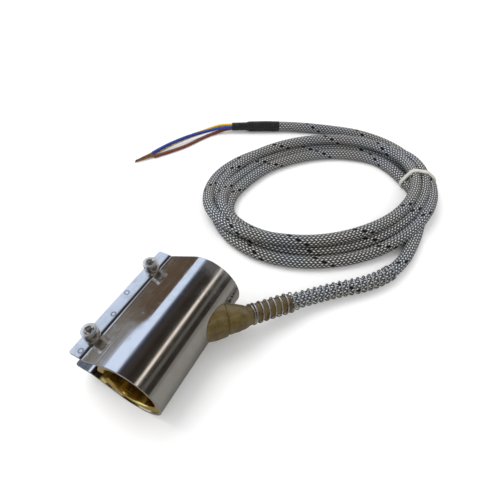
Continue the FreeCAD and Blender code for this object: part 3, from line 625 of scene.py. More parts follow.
def tube_mesh(line, radius, sides, squash=None, start_map=0.0):
    """Closed tube along a line, with a map of distance along it and share of a turn round it."""
    frames = carried_frames(line)
    distances = travelled(line)
    verts = []
    for i, (point, (side, up)) in enumerate(zip(line, frames)):
        r = radius(distances[i]) if callable(radius) else radius
        for k in range(sides):
            a = 2 * math.pi * k / sides
            reach = r * (squash(distances[i], a) if squash else 1.0)
            verts.append(point + (side * math.cos(a) + up * math.sin(a)) * reach)
    faces = []
    maps = []
    for i in range(len(line) - 1):
        for k in range(sides):
            n = (k + 1) % sides
            faces.append((i * sides + k, i * sides + n, (i + 1) * sides + n, (i + 1) * sides + k))
            u0, u1 = start_map + distances[i], start_map + distances[i + 1]
            v0, v1 = k / sides, (k + 1) / sides
            maps += [(u0, v0), (u0, v1), (u1, v1), (u1, v0)]
    last = (len(line) - 1) * sides
    faces.append(tuple(reversed(range(sides))))
    faces.append(tuple(range(last, last + sides)))
    maps += [(start_map, k / sides) for k in range(sides)] * 2
    return verts, faces, maps


def turned_rings(rings, closed=False):
    """Faces between rings of equal length; each ring is a closed loop of vertices."""
    count = len(rings[0])
    verts = [v for ring in rings for v in ring]
    faces = []
    total = len(rings)
    for i in range(total if closed else total - 1):
        j = (i + 1) % total
        for k in range(count):
            n = (k + 1) % count
            faces.append((i * count + k, j * count + k, j * count + n, i * count + n))
    return verts, faces


def arc_points(cx, cz, radius, start_deg, end_deg, steps):
    points = []
    for i in range(steps + 1):
        a = math.radians(start_deg + (end_deg - start_deg) * i / steps)
        points.append((cx + radius * math.cos(a), cz + radius * math.sin(a)))
    return points


def cut_with(piece_mesh, cutter_mesh):
    """Take one mesh out of another and give the result."""
    target = bpy.data.objects.new("cut_target", piece_mesh)
    cutter = bpy.data.objects.new("cutter", cutter_mesh)
    for holder in (target, cutter):
        bpy.context.scene.collection.objects.link(holder)
    modifier = target.modifiers.new("cut", "BOOLEAN")
    modifier.operation = "DIFFERENCE"
    modifier.solver = "EXACT"
    modifier.object = cutter
    bpy.context.view_layer.update()
    result = bpy.data.meshes.new_from_object(target.evaluated_get(bpy.context.evaluated_depsgraph_get()))
    bpy.data.objects.remove(target)
    bpy.data.objects.remove(cutter)
    return result


def cylinder_mesh(radius, low, high, sides=64):
    """Closed cylinder between two points."""
    along = (high - low).normalized()
    side = along.orthogonal().normalized()
    other = along.cross(side)
    rings = []
    for end in (low, high):
        rings.append([end + (side * math.cos(2 * math.pi * k / sides)
                             + other * math.sin(2 * math.pi * k / sides)) * radius for k in range(sides)])
    verts, faces = turned_rings(rings)
    faces += [tuple(range(sides)), tuple(reversed(range(sides, 2 * sides)))]
    mesh = bpy.data.meshes.new("cylinder")
    mesh.from_pydata([tuple(v) for v in verts], [], faces)
    fix_normals(mesh)
    return mesh


def fix_normals(mesh):
    work = bmesh.new()
    work.from_mesh(mesh)
    bmesh.ops.recalc_face_normals(work, faces=work.faces)
    work.to_mesh(mesh)
    work.free()


# ---- heater band -------------------------------------------------------------
def flange_profile(band, thick):
    """One flange skin, its pressed crease and its straight slope, from the free edge to the round.

    thick is how far this skin lies inside the outer one.
    """
    leaves = math.radians(band.slope_angle)
    dips = math.radians(90 - CREASE_DIP_DEG)
    top = -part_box("near_clamp_nut")[1].z
    both = CREASE_TOP_R + CREASE_R
    flat_end = -(band.shell_radius + CREASE_R - both * math.cos(leaves) * math.cos(dips) - math.sin(leaves)
                 * (top - CREASE_TOP_R + both * math.sin(dips))) / -math.cos(leaves)
    points = []
    for i in range(FLANGE_STEPS + 1):
        share = i / FLANGE_STEPS
        x = -FLANGE_REACH + (FLANGE_REACH + flat_end) * share
        points.append((x, top - thick - FLANGE_LEAN * (1 - share)))
    points += arc_points(flat_end, top - CREASE_TOP_R, CREASE_TOP_R - thick,
                         90, 90 - CREASE_DIP_DEG, 8)[1:]
    points += arc_points(flat_end + both * math.cos(dips), top - CREASE_TOP_R + both * math.sin(dips),
                         CREASE_R + thick, -90 - CREASE_DIP_DEG, band.slope_angle - 180, 14)[1:]
    foot = points[-1]
    round_r = band.shell_radius - thick
    for i in range(1, 9):
        points.append((foot[0] + (round_r * math.cos(leaves) - foot[0]) * i / 8,
                       foot[1] + (round_r * math.sin(leaves) - foot[1]) * i / 8))
    return points


def shell_outline(band):
    """Cross-section of the folded shell as a closed loop, outer skin first, and where its flats end."""
    extra = -FLANGE_REACH - SHELL_LOW.x
    skins = []
    for thick in (0.0, band.shell_sheet):
        upper = flange_profile(band, thick)
        middle = arc_points(0, 0, band.shell_radius - thick, band.slope_angle, -band.slope_angle, 120)[1:-1]
        lower = []
        for i, (x, z) in enumerate(upper):
            lower.append((x - extra * max(0.0, 1 - i / FLANGE_STEPS), -z))
        skins.append(upper + middle + list(reversed(lower)))
    return skins[0] + list(reversed(skins[1])), -skins[0][FLANGE_STEPS][0]


def clamp_shell_mesh(band):
    """Shell sheet with rounded flange corners and softened ends."""
    outline, bend_x = shell_outline(band)
    count = len(outline)
    inward = []
    for i in range(count):
        ax, az = outline[i - 1]
        bx, bz = outline[(i + 1) % count]
        normal = Vector((bz - az, 0, ax - bx)).normalized()
        inward.append(normal)
    half = SHELL_HIGH.y
    soft = 0.00012
    places = [(-half, soft), (-half + soft, 0.0)]
    places += [(-half + FLANGE_CORNER * s, 0.0) for s in (0.25, 0.45, 0.7, 1.0)]
    middle = 24
    span = 2 * (half - FLANGE_CORNER)
    places += [(-half + FLANGE_CORNER + span * i / middle, 0.0) for i in range(1, middle)]
    places += [(-y, inset) for y, inset in reversed(places[:6])]
    rings = []
    for y, inset in places:
        into_corner = max(0.0, abs(y) - (half - FLANGE_CORNER))
        pull = FLANGE_CORNER - math.sqrt(max(0.0, FLANGE_CORNER**2 - into_corner**2))
        ring = []
        for (x, z), normal in zip(outline, inward):
            point = Vector((x, y, z)) - normal * inset
            limit = SHELL_LOW.x if z < 0 else -FLANGE_REACH
            if x < -bend_x:
                share = (-bend_x - x) / (-bend_x - limit)
                point.x += pull * share
            ring.append(point)
        rings.append(ring)
    verts, faces = turned_rings(rings)
    last = (len(rings) - 1) * count
    outer_count = count // 2
    for base in (0, last):
        for k in range(outer_count - 1):
            a, b = base + k, base + k + 1
            c, d = base + count - 2 - k, base + count - 1 - k
            faces.append((a, b, c, d))
    mesh = bpy.data.meshes.new("clamp_shell_sheet")
    mesh.from_pydata([tuple(v) for v in verts], [], faces)
    fix_normals(mesh)
    return mesh


class HEATER_OT_clamp_shell(bpy.types.Operator):
    """Build the folded clamp shell with its screw holes and lead exit"""
    bl_idname = "heater.clamp_shell"
    bl_label = "Clamp Shell"

    def execute(self, context):
        band = context.scene.band_heater.band
        mesh = clamp_shell_mesh(band)
        for place in ("near", "far"):
            low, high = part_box("%s_clamp_screw" % place)
            centre = (low + high) / 2
            up = Vector((0, 0, 0.02))
            mesh = cut_with(mesh, cylinder_mesh(FLANGE_HOLE_R, centre - up, centre + up, 40))
        nipple_low, nipple_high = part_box("exit_nipple")
        middle = (nipple_low + nipple_high) / 2
        radius = (nipple_high.y - nipple_low.y) / 2 + CLEARANCE
        mesh = cut_with(mesh, cylinder_mesh(radius, middle, middle + Vector((0.01, 0, 0)), 40))
        add_mesh_piece("shell_skin", mesh, polished_shell(), ("clamp_shell",), 30.0)
        return {"FINISHED"}


class HEATER_OT_brass_casing(bpy.types.Operator):
    """Build the sealed brass casing: bore wall, rolled end rings, slit walls and jacket"""
    bl_idname = "heater.brass_casing"
    bl_label = "Brass Casing"

    def execute(self, context):
        band = context.scene.band_heater.band
        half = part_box("brass_jacket")[1].y
        bore = band.bore_radius
        outer = band.shell_radius - band.shell_sheet - CLEARANCE
        steps = 120
        roll = CASING_ROLL
        path = [(outer, -half)]
        path += [(bore + roll + (outer - bore - roll) * s, -half) for s in (0.85, 0.6, 0.3)]
        path += [(r, y) for r, y in reversed(arc_points(bore + roll, -half + roll, roll, 180, 270, 8))]
        path += [(bore, -half + roll + (2 * half - 2 * roll) * i / 24) for i in range(1, 24)]
        path += arc_points(bore + roll, half - roll, roll, 180, 90, 8)
        path += [(bore + roll + (outer - bore - roll) * s, half) for s in (0.3, 0.6, 0.85)]
        path += [(outer, half)]
        rings = []
        for i in range(steps + 1):
            ring = []
            for r, y in path:
                edge = math.asin(SLIT_WIDTH / 2 / r)
                a = math.pi + edge + (2 * math.pi - 2 * edge) * i / steps
                ring.append(Vector((r * math.cos(a), y, r * math.sin(a))))
            rings.append(ring)
        verts, faces = turned_rings(rings)
        count = len(path)
        faces.append(tuple(range(count)))
        faces.append(tuple(steps * count + k for k in reversed(range(count))))
        mesh = bpy.data.meshes.new("brass_casing_skin")
        mesh.from_pydata([tuple(v) for v in verts], [], faces)
        fix_normals(mesh)
        add_mesh_piece("casing_skin", mesh, casing_brass(),
                       ("brass_bore_liner", "brass_jacket"), 35.0)
        return {"FINISHED"}


class HEATER_OT_inner_layers(bpy.types.Operator):
    """Finish the mica, former, ribbon, cores and crimps that lie inside"""
    bl_idname = "heater.inner_layers"
    bl_label = "Inner Layers"

    def execute(self, context):
        looks = {
            "inner_mica": mica_finish(), "outer_mica": mica_finish(), "winding_former": mica_finish(),
            "heating_ribbon": ribbon_finish(), "exit_nipple": casing_brass(),
            "line_core_stub": stub_finish(), "neutral_core_stub": stub_finish(),
            "earth_core_stub": stub_finish(), "line_crimp": spring_wire_finish(),
            "neutral_crimp": spring_wire_finish(),
        }
        for node, material in looks.items():
            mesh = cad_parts[node].data
            mesh.materials.clear()
            mesh.materials.append(material)
        return {"FINISHED"}


# ---- clamp screws and nuts ---------------------------------------------------
def screw_mesh(head_top, tip_z, seat_z, x, y):
    """Knurled socket head, plain neck and rolled thread on one axis."""
    head_r, shank_r = HEAD_R, SHANK_R
    sides = TURNED_SIDES
    rings = []

    def ring(radius, z, knurl=0.0):
        points = []
        for k in range(sides):
            a = 2 * math.pi * k / sides
            r = radius - (knurl if k % 2 else 0.0)
            points.append(Vector((x + r * math.cos(a), y + r * math.sin(a), z)))
        rings.append(points)

    def hexagon(across, z):
        points = []
        for k in range(sides):
            a = 2 * math.pi * k / sides
            local = (a - math.radians(12)) % (math.pi / 3) - math.pi / 6
            r = across / 2 / math.cos(local)
            points.append(Vector((x + r * math.cos(a), y + r * math.sin(a), z)))
        rings.append(points)

    socket_floor = head_top - 0.002
    ring(0.0002, socket_floor - 0.0006)
    hexagon(SOCKET_WIDTH, socket_floor)
    hexagon(SOCKET_WIDTH, head_top - 0.0007)
    ring(0.00192, head_top - 0.00038)
    ring(0.00208, head_top - 0.00006)
    ring(0.00216, head_top)
    ring(head_r - 0.00042, head_top)
    ring(head_r - 0.0002, head_top - 0.00008)
    ring(head_r - 0.00006, head_top - 0.00022)
    ring(head_r, head_top - 0.0005, 0.00002)
    ring(head_r, seat_z + 0.0007, 0.00002)
    ring(head_r - 0.00012, seat_z + 0.00045)
    ring(head_r - 0.0002, seat_z + 0.00002)
    ring(shank_r + 0.0002, seat_z)
    ring(shank_r, seat_z - 0.0001)
    ring(shank_r, seat_z - 0.0022)
    pitch = THREAD_PITCH
    depth = THREAD_PITCH / 2
    z = seat_z - 0.0024
    steps = 6
    for i in range(int((z - tip_z - 0.0006) / pitch * steps)):
        points = []
        for k in range(sides):
            turn = i / steps + k / sides
            wave = abs((turn % 1.0) * 2 - 1)
            r = shank_r - depth * wave
            a = 2 * math.pi * k / sides
            points.append(Vector((x + r * math.cos(a), y + r * math.sin(a), z - pitch * i / steps)))
        rings.append(points)
    ring(shank_r - 0.00035, tip_z + 0.0003)
    ring(shank_r - 0.0006, tip_z)
    ring(0.0002, tip_z)
    verts, faces = turned_rings(rings)
    faces.append(tuple(range(sides)))
    faces.append(tuple((len(rings) - 1) * sides + k for k in reversed(range(sides))))
    mesh = bpy.data.meshes.new("socket_screw")
    mesh.from_pydata([tuple(v) for v in verts], [], faces)
    fix_normals(mesh)
    return mesh


def nut_mesh(low, high, x, y):
    """Hexagon nut with chamfered corners on its free side and a countersunk bore."""
    sides = TURNED_SIDES
    rings = []

    def ring(radius_at, z_at):
        points = []
        for k in range(sides):
            a = 2 * math.pi * k / sides
            points.append(Vector((x + radius_at(a) * math.cos(a), y + radius_at(a) * math.sin(a), z_at(a))))
        rings.append(points)

    def flat(a):
        return NUT_HALF_FLAT / math.cos((a + math.pi / 6) % (math.pi / 3) - math.pi / 6)

    bore = SHANK_R + 0.000075
    ring(lambda a: bore, lambda a: high)
    ring(lambda a: flat(a) - 0.00005, lambda a: high)
    ring(flat, lambda a: high - 0.00008)
    ring(flat, lambda a: low + 0.0001 + (flat(a) - NUT_HALF_FLAT) * 0.8)
    ring(lambda a: min(flat(a), NUT_HALF_FLAT - 0.0001), lambda a: low)
    ring(lambda a: bore + 0.0003, lambda a: low)
    ring(lambda a: bore, lambda a: low + 0.0003)
    verts, faces = turned_rings(rings, closed=True)
    mesh = bpy.data.meshes.new("hexagon_nut")
    mesh.from_pydata([tuple(v) for v in verts], [], faces)
    fix_normals(mesh)
    return mesh


class HEATER_OT_clamp_screws(bpy.types.Operator):
    """Build the two socket cap screws and their nuts"""
    bl_idname = "heater.clamp_screws"
    bl_label = "Clamp Screws And Nuts"

    def execute(self, context):
        for place in ("near", "far"):
            low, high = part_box("%s_clamp_screw" % place)
            x, y = (low.x + high.x) / 2, (low.y + high.y) / 2
            seat = high.z - HEAD_H
            mesh = screw_mesh(high.z, low.z, seat, x, y)
            add_mesh_piece("%s_screw_body" % place, mesh, plated_screw(), ("%s_clamp_screw" % place,),
                           32.0, "%s_screw" % place)
            low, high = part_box("%s_clamp_nut" % place)
            mesh = nut_mesh(low.z, high.z, x, y)
            add_mesh_piece("%s_nut_body" % place, mesh, plated_screw(), ("%s_clamp_nut" % place,),
                           32.0, "%s_nut" % place)
        return {"FINISHED"}


# ---- lead exit ---------------------------------------------------------------
def sleeve_points():
    """Centre line of the sleeve's narrow part, which ends in line with the lead."""
    start = raised(LEAD_ROUTE[0])
    back = (start - raised(LEAD_ROUTE[1])).normalized()
    return [raised(SLEEVE_MIDDLE), start + back * 0.0096, start]


class HEATER_OT_insulating_sleeve(bpy.types.Operator):
    """Build the varnished sleeve that flares over the exit and narrows onto the lead"""
    bl_idname = "heater.insulating_sleeve"
    bl_label = "Insulating Sleeve"

    def execute(self, context):
        centres = [raised(p) for p, r in BOSS_STATIONS] + sleeve_points()
        radii = [r * MM for p, r in BOSS_STATIONS] + [SLEEVE_END_R] * 3
        line = smooth_line(centres, 12)
        distances = travelled(line)
        marks = [min(range(len(line)), key=lambda i: (line[i] - c).length) for c in centres]
        stations = [distances[m] for m in marks]
        seam = stations[2] + SLEEVE_SEAM_GAP

        def radius_at(s):
            k = max(i for i in range(len(stations)) if stations[i] <= s + 1e-9)
            n = min(k + 1, len(stations) - 1)
            span = max(stations[n] - stations[k], 1e-9)
            share = (s - stations[k]) / span
            share = share * share * (3 - 2 * share) * 0.4 + share * 0.6
            r = radii[k] + (radii[n] - radii[k]) * share
            if s < seam:
                return r + 0.0003
            return r - 0.0005 * math.exp(-((s - seam) / 0.0006) ** 2)

        def uneven(s, a):
            return 1.0 + 0.018 * math.sin(a * 2 + s * 300) + 0.012 * math.sin(a * 3 - s * 500 + 1.3)

        verts, faces, _ = tube_mesh(line, radius_at, 48, uneven)
        mesh = bpy.data.meshes.new("sleeve_skin")
        mesh.from_pydata([tuple(v) for v in verts], [], faces)
        fix_normals(mesh)
        inside = context.scene.band_heater.band.shell_radius + 0.00003
        cutter = cylinder_mesh(inside, Vector((0, -0.05, 0)), Vector((0, 0.08, 0)), 180)
        mesh = cut_with(mesh, cutter)
        add_mesh_piece("varnished_sleeve_skin", mesh, varnished_sleeve(), ("insulating_sleeve",),
                       50.0)
        return {"FINISHED"}


# ---- lead --------------------------------------------------------------------
def bundle_width(turn_deg):
    """Width of the coil's bundle of strands at one place round the oval, in millimetres."""
    a = math.radians(turn_deg)
    return COIL_BUNDLE[0] * math.cos(a) ** 2 + COIL_BUNDLE[1] * math.sin(a) ** 2


def coil_point(turn_deg, inset, height):
    """Point of the coil at one place round the oval, some way in from its outer edge."""
    a = math.radians(turn_deg)
    share = inset / bundle_width(turn_deg)
    u = (COIL_SEMI[0] - COIL_BUNDLE[0] * share) * math.cos(a)
    w = (COIL_SEMI[1] - COIL_BUNDLE[1] * share) * math.sin(a)
    turn = math.radians(COIL_TURN_DEG)
    return (COIL_CENTRE[0] + u * math.cos(turn) - w * math.sin(turn),
            COIL_CENTRE[1] + u * math.sin(turn) + w * math.cos(turn), height)


def coil_route():
    """Control points of the coil's turns, each eased from lane to lane."""
    lanes = [lane for turn in COIL_LANES for lane in turn] + list(LAST_LANE)
    per_lane = COIL_POINTS // 8
    points = []
    for i in range(len(lanes) - 1):
        for k in range(per_lane):
            share = k / per_lane
            ease = share * share * (3 - 2 * share)
            inset = lanes[i][0] + (lanes[i + 1][0] - lanes[i][0]) * ease
            height = lanes[i][1] + (lanes[i + 1][1] - lanes[i][1]) * ease
            angle = 45.0 * (i + share)
            if 10 < angle < 45.0 * (len(lanes) - 2) + 20:
                points.append(coil_point(angle, inset, height))
    return points


def lead_line():
    route = list(LEAD_ROUTE) + list(UNDER_COIL) + coil_route() + list(TAIL_ROUTE)
    return smooth_line([raised(p) for p in route], 8)


class HEATER_OT_lead(bpy.types.Operator):
    """Build the braided lead: out of the sleeve, round the tied coil and on to the heat-shrink"""
    bl_idname = "heater.lead"
    bl_label = "Braided Lead"

    def execute(self, context):
        lead = context.scene.band_heater.lead
        line = lead_line()
        verts, faces, maps = tube_mesh(line, lead.cable_radius, 20)
        cord = add_piece("braided_lead", verts, faces, lead_braid(),
                         ("lead_run", "lead_coil", "lead_tail"), maps, 60.0)
        return {"FINISHED"}


def spring_travel(turn, turns, length, wire):
    """Distance along the axis after some turns; the end turns are close wound."""
    close_pitch = wire * 1.15
    open_pitch = (length - 2 * close_pitch) / (turns - 2)
    first = min(turn, 1)
    last = max(0.0, turn - turns + 1)
    return (first + last) * close_pitch + (turn - first - last) * open_pitch


class HEATER_OT_spring(bpy.types.Operator):
    """Wind the strain-relief spring over the sleeve's end and the lead"""
    bl_idname = "heater.spring"
    bl_label = "Strain Relief Spring"

    def execute(self, context):
        lead = context.scene.band_heater.lead
        axis = smooth_line(sleeve_points()[:-1] + [raised(p) for p in LEAD_ROUTE[1:]], 12)
        distances = travelled(axis)
        wire_r = lead.spring_wire / 2
        wide = SLEEVE_END_R + 0.00012 + wire_r
        slim = lead.cable_radius + 0.00015 + wire_r
        per_turn = 24
        helix = []
        for i in range(lead.spring_turns * per_turn + 1):
            turn = i / per_turn
            travel = spring_travel(turn, lead.spring_turns, SPRING_LENGTH, lead.spring_wire)
            centre, along = at_distance(axis, distances, travel)
            side, up = side_and_up(along)
            share = min(1.0, max(0.0, (travel - SPRING_ON_SLEEVE) / 0.005))
            radius = wide + (slim - wide) * share * share * (3 - 2 * share)
            a = 2 * math.pi * turn
            helix.append(centre + (side * math.cos(a) + up * math.sin(a)) * radius)
        verts, faces, maps = tube_mesh(helix, wire_r, 10)
        add_piece("coiled_spring", verts, faces, spring_wire_finish(), ("strain_relief_spring",),
                  maps, 60.0)
        return {"FINISHED"}


def hull(points):
    """Convex outline round points in a plane, anticlockwise."""
    points = sorted(points)
    halves = []
    for run in (points, list(reversed(points))):
        chain = []
        for p in run:
            while len(chain) > 1:
                a, b = chain[-2], chain[-1]
                if (b[0] - a[0]) * (p[1] - a[1]) - (b[1] - a[1]) * (p[0] - a[0]) > 0:
                    break
                chain.pop()
            chain.append(p)
        halves += chain[:-1]
    return halves


def strands_at(middle, across, along, reach):
    """Where the lead passes through a plane near a point, as across and up from that point."""
    found = []
    line = lead_line()
    for a, b in zip(line, line[1:]):
        da, db = (a - middle).dot(along), (b - middle).dot(along)
        if da * db <= 0 and (a - middle).length < reach:
            at = a.lerp(b, da / (da - db)) if da != db else a
            found.append(((at - middle).dot(across), (at - middle).z))
    return found


class HEATER_OT_cable_tie(bpy.types.Operator):
    """Draw the nylon tie tight round the coil's strands, with its locking head low on the outer side"""
    bl_idname = "heater.cable_tie"
    bl_label = "Cable Tie"

    def execute(self, context):
        outer = Vector(coil_point(TIE_STATION_DEG, 0.0, 0.0)) * MM
        inner = Vector(coil_point(TIE_STATION_DEG, bundle_width(TIE_STATION_DEG), 0.0)) * MM
        across = (outer - inner).normalized()
        along = Vector((0, 0, 1)).cross(across)
        middle = (outer + inner) / 2
        middle.z = SURFACE_Z
        round_r = context.scene.band_heater.lead.cable_radius + 0.0001
        spots = []
        for x, z in strands_at(middle, across, along, 0.020):
            spots += [(px, max(pz, TIE_T)) for px, pz in arc_points(x, z, round_r, 0, 345, 23)]
        loop = hull(spots)
        count = len(loop)
        rings = []
        for i, (x, z) in enumerate(loop):
            ax, az = loop[i - 1]
            bx, bz = loop[(i + 1) % count]
            out = Vector((bz - az, ax - bx)).normalized()
            section = []
            for lift, side in ((0, -1), (0.75, -1), (1, -0.8), (1, 0.8), (0.75, 1), (0, 1)):
                spot = Vector((x, z)) + out * lift * TIE_T
                section.append(middle + across * spot.x + Vector((0, 0, max(spot.y, 0.00005)))
                               + along * (side * TIE_W / 2))
            rings.append(section)
        verts, faces = turned_rings(rings, closed=True)
        side_x = max(loop)[0]
        width, reach, height = TIE_LOCK
        head = []
        for out, share in ((-0.0004, 1.0), (reach, 1.0), (reach + 0.0003, 0.85)):
            ring = []
            for sy, sz in ((-1, 0), (1, 0), (1, 1), (-1, 1)):
                up = 0.0004 + height * (0.5 + (sz - 0.5) * share)
                ring.append(middle + across * (side_x + out) + along * (sy * share * width)
                            + Vector((0, 0, up)))
            head.append(ring)
        head_verts, head_faces = turned_rings(head)
        offset = len(verts)
        verts += head_verts
        faces += [tuple(offset + i for i in face) for face in head_faces]
        faces.append(tuple(offset + i for i in (0, 1, 2, 3)))
        faces.append(tuple(offset + 8 + i for i in (3, 2, 1, 0)))
        mesh = bpy.data.meshes.new("tie")
        mesh.from_pydata([tuple(v) for v in verts], [], faces)
        fix_normals(mesh)
        add_mesh_piece("nylon_tie", mesh, tie_finish(), ("cable_tie",), 35.0)
        return {"FINISHED"}


class HEATER_OT_heat_shrink(bpy.types.Operator):
    """Shrink the black sleeve over the lead's end and down onto the cores"""
    bl_idname = "heater.heat_shrink"
    bl_label = "Heat Shrink"

    def execute(self, context):
        lead = context.scene.band_heater.lead
        line = lead_line()
        distances = travelled(line)
        overlap, length = 0.021, 0.035
        steps = 70
        path = []
        end, along = line[-1], (line[-1] - line[-2]).normalized()
        for i in range(steps + 1):
            s = length * i / steps
            if s < overlap:
                path.append(at_distance(line, distances, distances[-1] - overlap + s)[0])
            else:
                path.append(end + along * (s - overlap))
        wide = lead.cable_radius + 0.0002
        slim = 0.00285

        def radius_at(s):
            share = min(1.0, max(0.0, (s - overlap - 0.0003) / 0.0042))
            r = wide + (slim - wide) * share * share * (3 - 2 * share)
            edge = min(s, 0.0006) / 0.0006
            return r - 0.0002 * (1 - edge)

        def wrinkled(s, a):
            return 1.0 + 0.012 * math.sin(a * 3 + s * 420) + 0.008 * math.sin(s * 1900 + 2 * math.sin(a))

        verts, faces, maps = tube_mesh(path, radius_at, 36, wrinkled)
        add_piece("shrink_sleeve", verts, faces, shrink_finish(), ("heat_shrink",),
                  maps, 50.0)
        return {"FINISHED"}


class HEATER_OT_cores(bpy.types.Operator):
    """Build the three insulated cores and their twisted bare end"""
    bl_idname = "heater.cores"
    bl_label = "Cores And Copper Tip"

    def execute(self, context):
        lead = context.scene.band_heater.lead
        tip = self.copper_tip()
        end = raised(TAIL_ROUTE[-1])
        along = (end - raised(TAIL_ROUTE[-2])).normalized()
        side, up = side_and_up(along)
        for colour, route in CORE_ROUTES.items():
            a = math.radians(CORE_ANGLES[colour])
            start = end + (side * math.cos(a) + up * math.sin(a)) * 0.0013
            points = [start, start + along * 0.0152] + [raised(p) for p in route]
            line = smooth_line(points, 8)
            verts, faces, maps = tube_mesh(line, lead.core_radius, 14)
            core = add_piece("%s_core" % colour, verts, faces, core_finish(colour), ("core_%s" % colour,),
                             maps, 60.0)
        return {"FINISHED"}

    def copper_tip(self):
        start, end = [raised(p) for p in TIP_ROUTE]
        along = (end - start).normalized()
        side, up = side_and_up(along)
        length = (end - start).length
        verts, faces = [], []
        dice = random.Random(4)
        for strand in range(12):
            ring_r = 0.0013 if strand < 8 else 0.0005
            phase = 2 * math.pi * strand / (8 if strand < 8 else 4)
            reach = length * dice.uniform(0.86, 0.99)
            line = []
            for i in range(33):
                s = reach * i / 32
                taper = 1.0 - 0.62 * s / length
                a = phase + s * 420 * (1 if strand < 8 else 0.8)
                centre = start + along * s
                line.append(centre + (side * math.cos(a) + up * math.sin(a)) * ring_r * taper)
            points, sheets, _ = tube_mesh(
                line, lambda s: 0.00040 * (1.0 - 0.45 * s / length), 6)
            offset = len(verts)
            verts += points
            faces += [tuple(offset + i for i in face) for face in sheets]
        return add_piece("twisted_copper", verts, faces, copper_finish(), ("copper_tip",),
                         None, 60.0)


# ---- stage -------------------------------------------------------------------
# What shiny parts mirror, by the angle round the bore's direction, from below through the right.
ROOM_BANDS = (
    (-180.0, (0.23, 0.20, 0.155)), (-90.0, (0.14, 0.12, 0.09)), (-40.0, (0.25, 0.23, 0.20)),
    (6.0, (0.27, 0.25, 0.22)), (11.0, (0.035, 0.03, 0.025)), (25.0, (0.03, 0.025, 0.02)),
    (30.0, (0.14, 0.13, 0.115)), (36.0, (0.14, 0.13, 0.115)), (41.0, (0.04, 0.033, 0.026)),
    (50.0, (0.08, 0.066, 0.052)), (54.0, (0.80, 0.72, 0.64)), (57.0, (1.45, 1.32, 1.20)),
    (60.0, (0.80, 0.72, 0.64)), (64.0, (0.08, 0.066, 0.052)), (72.0, (0.04, 0.032, 0.025)),
    (84.0, (0.03, 0.022, 0.016)),
    (100.0, (0.055, 0.045, 0.038)), (112.0, (0.05, 0.05, 0.06)), (119.0, (0.12, 0.14, 0.19)),
    (156.0, (0.13, 0.09, 0.06)), (179.0, (0.22, 0.19, 0.15)),
)


